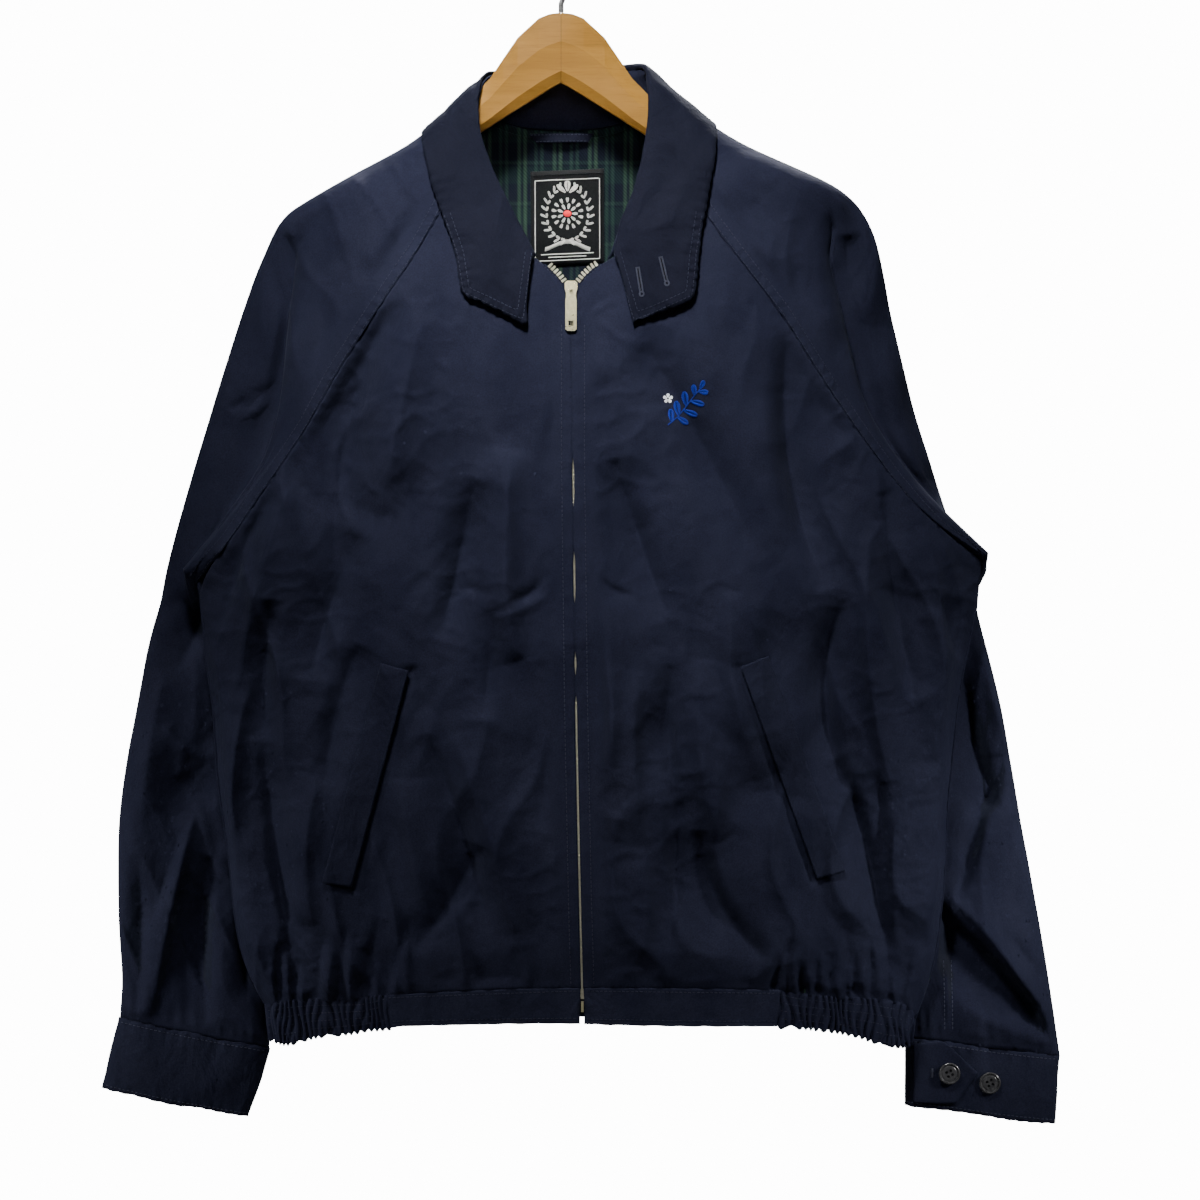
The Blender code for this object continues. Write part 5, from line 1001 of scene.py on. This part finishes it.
def sew_body():
    for side, sign in SIDES:
        sleeve, cuff, elastic = "sleeve_" + side, "cuff_" + side, "hem_elastic_" + side
        rows = []
        for shift in (1.7, 7.7):
            rows += stitch_row(sleeve, inset(RAGLAN[side], sign * shift))
            rows += stitch_row(sleeve, inset(BACK_SEAM[side], sign * shift), REAR)
        strands("raglan_stitches_" + side, rows, PLAIN, NAVY_THREAD)
        strands("raglan_fold_" + side, chain(sleeve, inset(RAGLAN[side], sign * 0.5)), STOUT,
                NAVY_WORN)
        sew_front(side, sign)

        rows = two_hem_rows("hem_band_" + side, *HEM_SPAN[side], FRONT)
        strands("hem_stitches_" + side, rows, SLIM, NAVY_THREAD)
        rows = []
        for share in (0.12, 0.34, 0.56, 0.78):
            row = [(x, float(along(HEM_LINE, x) * (1 - share) + along(HEM_BOTTOM, x) * share))
                   for x in np.linspace(*ELASTIC_SPAN[side], 20)]
            rows += stitch_row(elastic, row, FRONT, 2.6) + stitch_row(elastic, row, REAR, 2.6)
        strands("elastic_stitches_" + side, rows, 0.26, NAVY_THREAD)

        rows = []
        for face in (FRONT, REAR):
            rows += stitch_row(cuff, [(x, z - 2.6) for x, z in CUFF_TOP[side]], face)
            rows += stitch_row(cuff, [(x, z + 3.4) for x, z in cuff_bottom(side)], face)
        strands("cuff_stitches_" + side, rows, PLAIN, PALE_THREAD)
    strands("hem_stitches_back", two_hem_rows("hem_band_back", -128, 163, REAR), SLIM, NAVY_THREAD)


def sew_collar():
    rows = []
    for side, sign in SIDES:
        fold, outer = zip(*LEAF[side])
        for shift in (NEAR, FAR):
            rows += stitch_row("collar", inset([fold[0], *outer[:-1]], sign * shift))
    strands("leaf_stitches", rows, SLIM, NAVY_THREAD)
    rows = []
    for shift in (NEAR, FAR):
        line = []
        for fold, outer in COLLAR_BACK:
            fold, outer = Vector(fold), Vector(outer)
            line.append(tuple(outer + (fold - outer).normalized() * shift))
        points = cut_line(line, PITCH)
        for here, after in zip(points, points[1:]):
            there = here + (after - here) * 0.74
            rows += joining(drop_round("collar", here), drop_round("collar", there), 5 * MM)
    strands("collar_back_stitches", rows, SLIM, NAVY_THREAD)
    a, b, c, d = (np.array(p) for p in LOOP_CORNERS)
    rows = []
    for t in (0.14, 0.86):
        rows += stitch_row("hanging_loop", [a + (d - a) * t, b + (c - b) * t], pitch=2.8)
    strands("loop_stitches", rows, 0.26, NAVY_THREAD)


def place_on_line(start, end, s, off):
    """A point s along a line and off to its left."""
    way = (np.array(end) - start) / np.linalg.norm(np.array(end) - start)
    return np.array(start) + way * s + np.array((-way[1], way[0])) * off


def across_line(cad, start, end, one, other):
    """A stitch between two places, each told as how far along a line and how far off it."""
    return joining(*(drop(cad, *place_on_line(start, end, *at)) for at in (one, other)))


def sew_buttonholes():
    edge, dark = [], []
    for hole in BUTTONHOLES:
        long = math.dist(*hole)
        for side in (-1, 1):
            for s in np.arange(0.8, long - 3.2, 0.62):
                edge += across_line("collar", *hole, (s, side * 0.35), (s, side * 1.75))
        for k in range(18):
            a = math.tau * k / 18
            edge += across_line("collar", *hole, *(
                (long - 2.0 + r * math.cos(a), r * math.sin(a)) for r in (0.9, 2.4)))
        for s in (0.0, 0.5):
            edge += across_line("collar", *hole, (s, -1.9), (s, 1.9))
        # A dark sunk thread along each hole's middle: painted shade in the slit.
        dark += chain("collar", [place_on_line(*hole, s, 0) for s in (0.8, long - 1.2)], 1.2)
    strands("buttonhole_stitches", edge, 0.32, EDGE_THREAD)
    strands("buttonhole_slit_painted_shade", dark, 0.55, BLACK_THREAD_AND_PAINTED_SHADE, lift=-0.2, flat=0.5)


def sew_left_cuff():
    rows = stitch_row("cuff_tab_left", inset(LEFT_TAB, NEAR))
    for x in (291, 297):
        rows += stitch_row("sleeve_left", [(x, -780), (x + 0.5, -835)])
    strands("tab_stitches_left", rows, PLAIN, PALE_THREAD)
    bars = []
    for z in np.arange(-868.0, -861.0, 0.7):
        bars += joining(drop("cuff_tab_left", 280.6, z), drop("cuff_tab_left", 283.0, z))
    strands("cuff_buttonhole", bars, 0.32, EDGE_THREAD)


sew_body()
sew_collar()
sew_buttonholes()
sew_left_cuff()


# ---------------------------------------------------------------- label and embroidery
def leaf(cad, base, tip, width, pitch=0.75):
    """Satin stitches of one leaf, from its middle vein out to both edges."""
    found = []
    long = math.dist(base, tip)
    for s in np.arange(pitch / 2, long, pitch):
        half = width / 2 * math.sin(math.pi * min(1, s / long * 0.9 + 0.06)) ** 0.8
        if half < 0.25:
            continue
        for side in (-1, 1):
            found += across_line(cad, base, tip, (s - 0.25, side * 0.05),
                                 (min(s + half * 0.7, long), side * half))
    return found


def ring_of_leaves(cad, middle, count, inner, outer, width, pitch, turned=0.0):
    found = []
    for k in range(count):
        a = math.tau * k / count + turned
        base, tip = ((middle[0] + r * math.cos(a), middle[1] + r * math.sin(a))
                     for r in (inner, outer))
        found += leaf(cad, base, tip, width, pitch)
    return found


def embroider_chest():
    """A sprig of blue leaves with one white blossom, of no known mark."""
    cad = "front_left"
    rows = chain(cad, ((81, -375), (88, -369), (94, -362), (100, -354), (106, -347)), 1.0)
    for base, tip, width in (
            ((84, -373), (83, -363), 5.0), ((88, -369), (96, -374), 5.0),
            ((89, -368), (87, -357), 5.5), ((93, -364), (103, -368), 5.0),
            ((95, -361), (93, -350), 5.5), ((98, -357), (108, -360), 5.0),
            ((101, -353), (100, -345), 4.5), ((104, -350), (111, -351), 4.5),
            ((105, -348), (108, -342), 4.0)):
        rows += leaf(cad, base, tip, width)
    strands("chest_sprig", rows, STOUT, BLUE_THREAD)
    strands("chest_blossom", ring_of_leaves(cad, (81, -355), 5, 0.7, 3.6, 2.4, 0.6, 0.3), 0.34,
            WHITE_THREAD)


def on_label(u, v):
    """A point of the label: u across it and v down it, from 0 to 1."""
    a, b, c, d = (np.array(p) for p in LABEL_CORNERS)
    return tuple((a * (1 - u) + b * u) * (1 - v) + (d * (1 - u) + c * u) * v)


def embroider_label():
    """A plain border, a wreath round a rosette and plain bars, of no known mark."""
    cad = "neck_label"
    frame_line = ((.06, .10), (.94, .10), (.94, .95), (.06, .95), (.06, .10))
    corners = [on_label(u, v) for u, v in frame_line]
    strands("label_border", chain(cad, corners, 1.6), PLAIN, SILVER_THREAD, "label")
    middle = mid_x, mid_z = on_label(.5, .46)
    rows = ring_of_leaves(cad, middle, 9, 3.6, 7.8, 2.2, 0.7)
    rows += ring_of_leaves(cad, middle, 14, 8.6, 12.4, 2.3, 0.7, math.pi / 14)
    for side in (-1, 1):
        for k in range(11):
            a = math.radians(-84 + 15.0 * k)
            turn = a + math.radians(58)
            base = (mid_x + side * 15.8 * math.cos(a), mid_z + 20.0 * math.sin(a))
            for out in (-1, 1):
                tip = (base[0] + side * (out * 2.6 * math.cos(a) + 4.2 * math.cos(turn)),
                       base[1] + out * 2.6 * math.sin(a) + 4.2 * math.sin(turn))
                rows += leaf(cad, base, tip, 1.8, 0.8)
    rows += leaf(cad, (mid_x, mid_z + 17), (mid_x, mid_z + 25), 5.0)
    for side in (-1, 1):
        rows += leaf(cad, (mid_x + side * 1.5, mid_z + 16), (mid_x + side * 8, mid_z + 22), 3.6)
    ribbon = [(mid_x + 17 * t, mid_z - 24.5 + 3.2 * math.cos(2.6 * t))
              for t in np.linspace(-1, 1, 16)]
    for x, z in cut_line(ribbon, 0.8):
        rows += joining(drop(cad, x, z - 1.9), drop(cad, x + 0.5, z + 1.9))
    strands("label_wreath", rows, 0.24, SILVER_THREAD, "label")
    rows = []
    for step in np.arange(-2.8, 2.9, 0.62):
        half = math.sqrt(max(0.1, 3.0 ** 2 - step ** 2))
        rows += joining(*(drop(cad, mid_x + step, mid_z + up) for up in (-half, half)))
    strands("label_heart", rows, 0.36, RED_THREAD, "label")
    rows = []
    for v, low, high in ((.885, .14, .86), (.915, .24, .76)):
        rows += chain(cad, [on_label(low, v), on_label(high, v)], 1.6)
    strands("label_bars", rows, 0.34, SILVER_THREAD, "label")
    strands("label_fold", chain(cad, [on_label(0, .045), on_label(1, .045)]), 0.5, LABEL, "label")


embroider_chest()
embroider_label()


# ---------------------------------------------------------------- zip
def box_tooth(mesh, middle, way, size):
    """One zip tooth: a small block with a rounded head, pointing along way."""
    up = Vector((0, -1, 0))
    across = way.cross(up).normalized()
    made = bmesh.ops.create_cube(mesh, size=1.0)["verts"]
    for vert in made:
        x, y, z = (at * s * MM for at, s in zip(vert.co, size))
        vert.co = middle + way * x + up * y + across * z * (0.62 if x > 0 else 1.0)
    edges = list({edge for vert in made for edge in vert.link_edges})
    bmesh.ops.bevel(mesh, geom=edges, offset=0.22 * MM, segments=1, affect="EDGES")


def build_teeth():
    for side, sign in SIDES:
        tape = "zip_tape_" + side
        mesh = bmesh.new()
        for z in np.arange(TEETH_TOP[side], -806, -3.0):
            centre = float(along(ZIP_LINE, z))
            spot = drop(tape, centre + sign * 1.4, z)
            if spot:
                middle = Vector((centre + sign * 0.75, spot[0].y / MM + 0.35, z)) * MM
                box_tooth(mesh, middle, Vector((-sign, 0, 0)), (3.4, 2.0, 1.7))
        arm = [(float(along(ZIP_LINE, z)) + sign * (away - 3.2 * float(fade((z + 272) / 12))), z)
               for z, away in ZIP_ARM[side]]
        places = cut_line(arm[::-1], 3.0)[1:]
        for here, after in zip(places, places[1:]):
            way = (after - here) / np.linalg.norm(after - here)
            point = np.array((way[1], -way[0])) * -sign
            spot = drop(tape, *(here - point * 1.1))
            if spot and -267.0 <= here[1] <= -251.0:
                x, z = here + point * 0.5
                middle = Vector((x, spot[0].y / MM + 0.1, z)) * MM
                box_tooth(mesh, middle, Vector((point[0], 0, point[1])), (3.6, 2.2, 1.7))
        add_piece("zip_teeth_" + side, to_data(mesh, "zip_teeth_" + side), "metal", TEETH_METAL)


build_teeth()


# ---------------------------------------------------------------- buttons and hanger
BUTTON_DIAMETER, BUTTON_THICKNESS = 16.5, 3.2
HOLES = ((1.7, 1.7), (-1.7, 1.7), (-1.7, -1.7), (1.7, -1.7))
HOLE_RADIUS = 1.1


def disc_ring(mesh, radius, height, count=32, x=0.0, z=0.0):
    turns = [math.tau * k / count for k in range(count)]
    return [mesh.verts.new((x + radius * math.cos(a), height, z + radius * math.sin(a)))
            for a in turns]


def join_rings(mesh, one, two):
    for k in range(len(one)):
        n = (k + 1) % len(one)
        mesh.faces.new((one[k], one[n], two[n], two[k]))


def build_button(cad, side):
    centre = sum((Vector(corner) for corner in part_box(cad)), Vector()) / 2
    source = read_points(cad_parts[cad].data)
    normal = np.linalg.svd(source - source.mean(axis=0))[2][2]
    up = Vector(normal * (1 if normal[1] * side > 0 else -1))
    turn = Vector((0, 1, 0)).rotation_difference(up).to_matrix()
    mesh = bmesh.new()
    half, r = BUTTON_THICKNESS / 2, BUTTON_DIAMETER / 2
    profile = ((r - 1.6, -half), (r - .5, -half + .3), (r, -half + 1.1), (r, half - .7),
               (r - .3, half - .2), (r - .8, half), (r - 1.3, half - .2), (r - 1.7, half - .9),
               (r - 2.2, half - 1.1), (r - 2.8, half - .7), (r - 3.3, half - .65))
    rings = [disc_ring(mesh, radius, height) for radius, height in profile]
    for one, two in zip(rings, rings[1:]):
        join_rings(mesh, one, two)
    mesh.faces.new(rings[0][::-1])
    open_rings = [rings[-1]]
    for x, z in HOLES:
        ring = disc_ring(mesh, HOLE_RADIUS, half - 0.65, 12, x, z)
        deep = disc_ring(mesh, HOLE_RADIUS - 0.05, -half + 0.35, 12, x, z)
        join_rings(mesh, ring, deep)
        mesh.faces.new(deep)
        open_rings.append(ring)
    edges = [mesh.edges.get(pair) or mesh.edges.new(pair)
             for ring in open_rings for pair in zip(ring, ring[1:] + ring[:1])]
    bmesh.ops.triangle_fill(mesh, edges=edges, use_beauty=True, use_dissolve=False,
                            normal=(0, 1, 0))
    bmesh.ops.recalc_face_normals(mesh, faces=mesh.faces[:])
    # Faces inside the holes take the black thread's material: partly the thread that runs through
    # them, partly painted shade in the holes.
    for face in mesh.faces:
        middle = face.calc_center_median()
        away = min(math.hypot(middle.x - x, middle.z - z) for x, z in HOLES)
        face.material_index = int(away < HOLE_RADIUS)
    for vert in mesh.verts:
        vert.co = turn @ (vert.co * MM) + centre
    data = to_data(mesh, cad + "_disc")
    smooth(data)
    data.set_sharp_from_angle(angle=math.radians(38))
    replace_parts(add_piece(cad + "_disc", data, "button", BUTTON, BLACK_THREAD_AND_PAINTED_SHADE), cad)
    rows = []
    for x, z in HOLES:
        ends = [turn @ (Vector((x * share, half - 1.0, z * share)) * MM) + centre
                for share in (0.78, 1.22)]
        rows.append((*ends, up))
    strands(cad + "_thread", rows, STOUT, BLACK_THREAD_AND_PAINTED_SHADE, "button", lift=0.0)


def build_hanger_seam():
    """The glued seam in the middle of the hanger: wood between the ends of its two halves."""
    mesh = bmesh.new()
    for side, sign in SIDES:
        points = read_points(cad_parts["hanger_" + side].data)
        inner = (sign * points[:, 0]).min()
        end = points[np.abs(sign * points[:, 0] - inner) < 1.5]
        end = end.mean(axis=0) + (end - end.mean(axis=0)) * 0.97
        for point in end:
            mesh.verts.new(point * MM)
    bmesh.ops.convex_hull(mesh, input=mesh.verts[:])
    add_piece("hanger_seam", to_data(mesh, "hanger_seam"), "wood", WOOD_SEAM)


for side, face in (("left", FRONT), ("right", REAR)):
    for number in (1, 2):
        build_button(f"cuff_button_{side}_{number}", face)
for cad, material in (("zip_slider", ZIP_METAL), ("zip_pull_tab", ZIP_METAL),
                      ("zip_stop", ZIP_METAL), ("hanger_right", WOOD), ("hanger_left", WOOD),
                      ("hanger_hook", HOOK_METAL)):
    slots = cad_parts[cad].data.materials
    slots.append(material)
    slots[0] = material
build_hanger_seam()


# ---------------------------------------------------------------- stage
FLOOR_LEVEL = -1.25
CAMERA = (0.03, -4.0, -0.50625)
SEEN, SENSOR = 0.9, 36   # width of the picture at the zip (m), and of the sensor (mm)


def mix_shaders(tree, kind, first, second):
    """The second shader where a ray is of a kind, the first elsewhere."""
    path = node(tree, "ShaderNodeLightPath", out=kind)
    return node(tree, "ShaderNodeMixShader", path, first, second)


def build_floor():
    mesh = bmesh.new()
    bmesh.ops.create_circle(mesh, cap_ends=True, radius=2.2, segments=64)
    pale, tree = new_material("pale_floor")
    finished(pale, (0.82, 0.82, 0.82, 1), Roughness=0.8)
    bright = node(tree, "ShaderNodeEmission", Color=(0.93, 0.93, 0.93, 1), Strength=1.15)
    shown = mix_shaders(tree, "Is Camera Ray", tree.nodes["Principled BSDF"].outputs[0], bright)
    tree.links.new(shown, tree.nodes["Material Output"].inputs["Surface"])
    data = to_data(mesh, "floor")
    data.materials.append(pale)
    floor = link_object("floor", data)
    floor.location = (0, 0, FLOOR_LEVEL)


def build_world():
    """White to the camera, a soft gradient to what shines, and nearly dark for the light."""
    world = bpy.context.scene.world or bpy.data.worlds.new("studio")
    bpy.context.scene.world = world
    world.use_nodes = True
    tree = world.node_tree
    tree.nodes.clear()
    sky = node(tree, "ShaderNodeTexCoord", out="Generated")
    height = node(tree, "ShaderNodeSeparateXYZ", sky, out=2)
    height = node(tree, "ShaderNodeMath", height, 0.5, 0.5, operation="MULTIPLY_ADD")
    glow = ramp(tree, height, ((0.0, (0.04,) * 3), (0.42, (0.10,) * 3), (0.52, (0.34,) * 3),
                               (0.64, (0.22,) * 3), (0.80, (0.8,) * 3)))
    around, mirrored, seen = (
        node(tree, "ShaderNodeBackground", Color=(1, 1, 1, 1), Strength=strength)
        for strength in (0.045, glow, 14.0))
    shiny = mix_shaders(tree, "Is Glossy Ray", around, mirrored)
    out = tree.nodes.new("ShaderNodeOutputWorld")
    tree.links.new(mix_shaders(tree, "Is Camera Ray", shiny, seen), out.inputs["Surface"])


def build_lights():
    """Each light's place, aim, size (m), power (W) and spread (degrees)."""
    for name, spot, aim, size, power, spread in (
            ("key", (-0.30, -1.20, 1.25), (-0.01, -0.05, -0.22), 0.30, 3.6, 24),
            ("neck", (0.0, -1.25, 0.0), (0.0, 0, -0.165), 0.10, 0.038, 10),
            ("side", (-1.15, -0.50, -0.30), (-0.36, 0, -0.75), 0.15, 0.60, 31),
            ("fill", (1.15, -0.65, -0.30), (0.37, 0, -0.70), 0.15, 0.66, 27),
            ("rear", (0.30, 1.20, 1.25), (0.01, 0.05, -0.26), 0.30, 5.2, 28),
            ("rear_low", (-0.55, 1.40, -0.20), (0.0, 0.05, -0.66), 0.20, 0.9, 32),
            ("high", (0.4, 1.9, 0.8), (0.0, 0, -0.5), 0.9, 10, 180)):
        lamp = bpy.data.lights.new(name, "AREA")
        lamp.energy, lamp.size, lamp.spread = power, size, math.radians(spread)
        made = link_object(name, lamp)
        made.location = spot
        made.rotation_euler = (Vector(aim) - Vector(spot)).to_track_quat("-Z", "Y").to_euler()


def build_camera():
    eye = bpy.data.cameras.new("camera")
    eye.sensor_width = SENSOR
    eye.lens = SENSOR * 3.955 / SEEN
    camera = link_object("camera", eye)
    camera.location = CAMERA
    camera.rotation_euler = (math.pi / 2, 0, 0)
    bpy.context.scene.camera = camera


build_floor()
build_world()
build_lights()
build_camera()
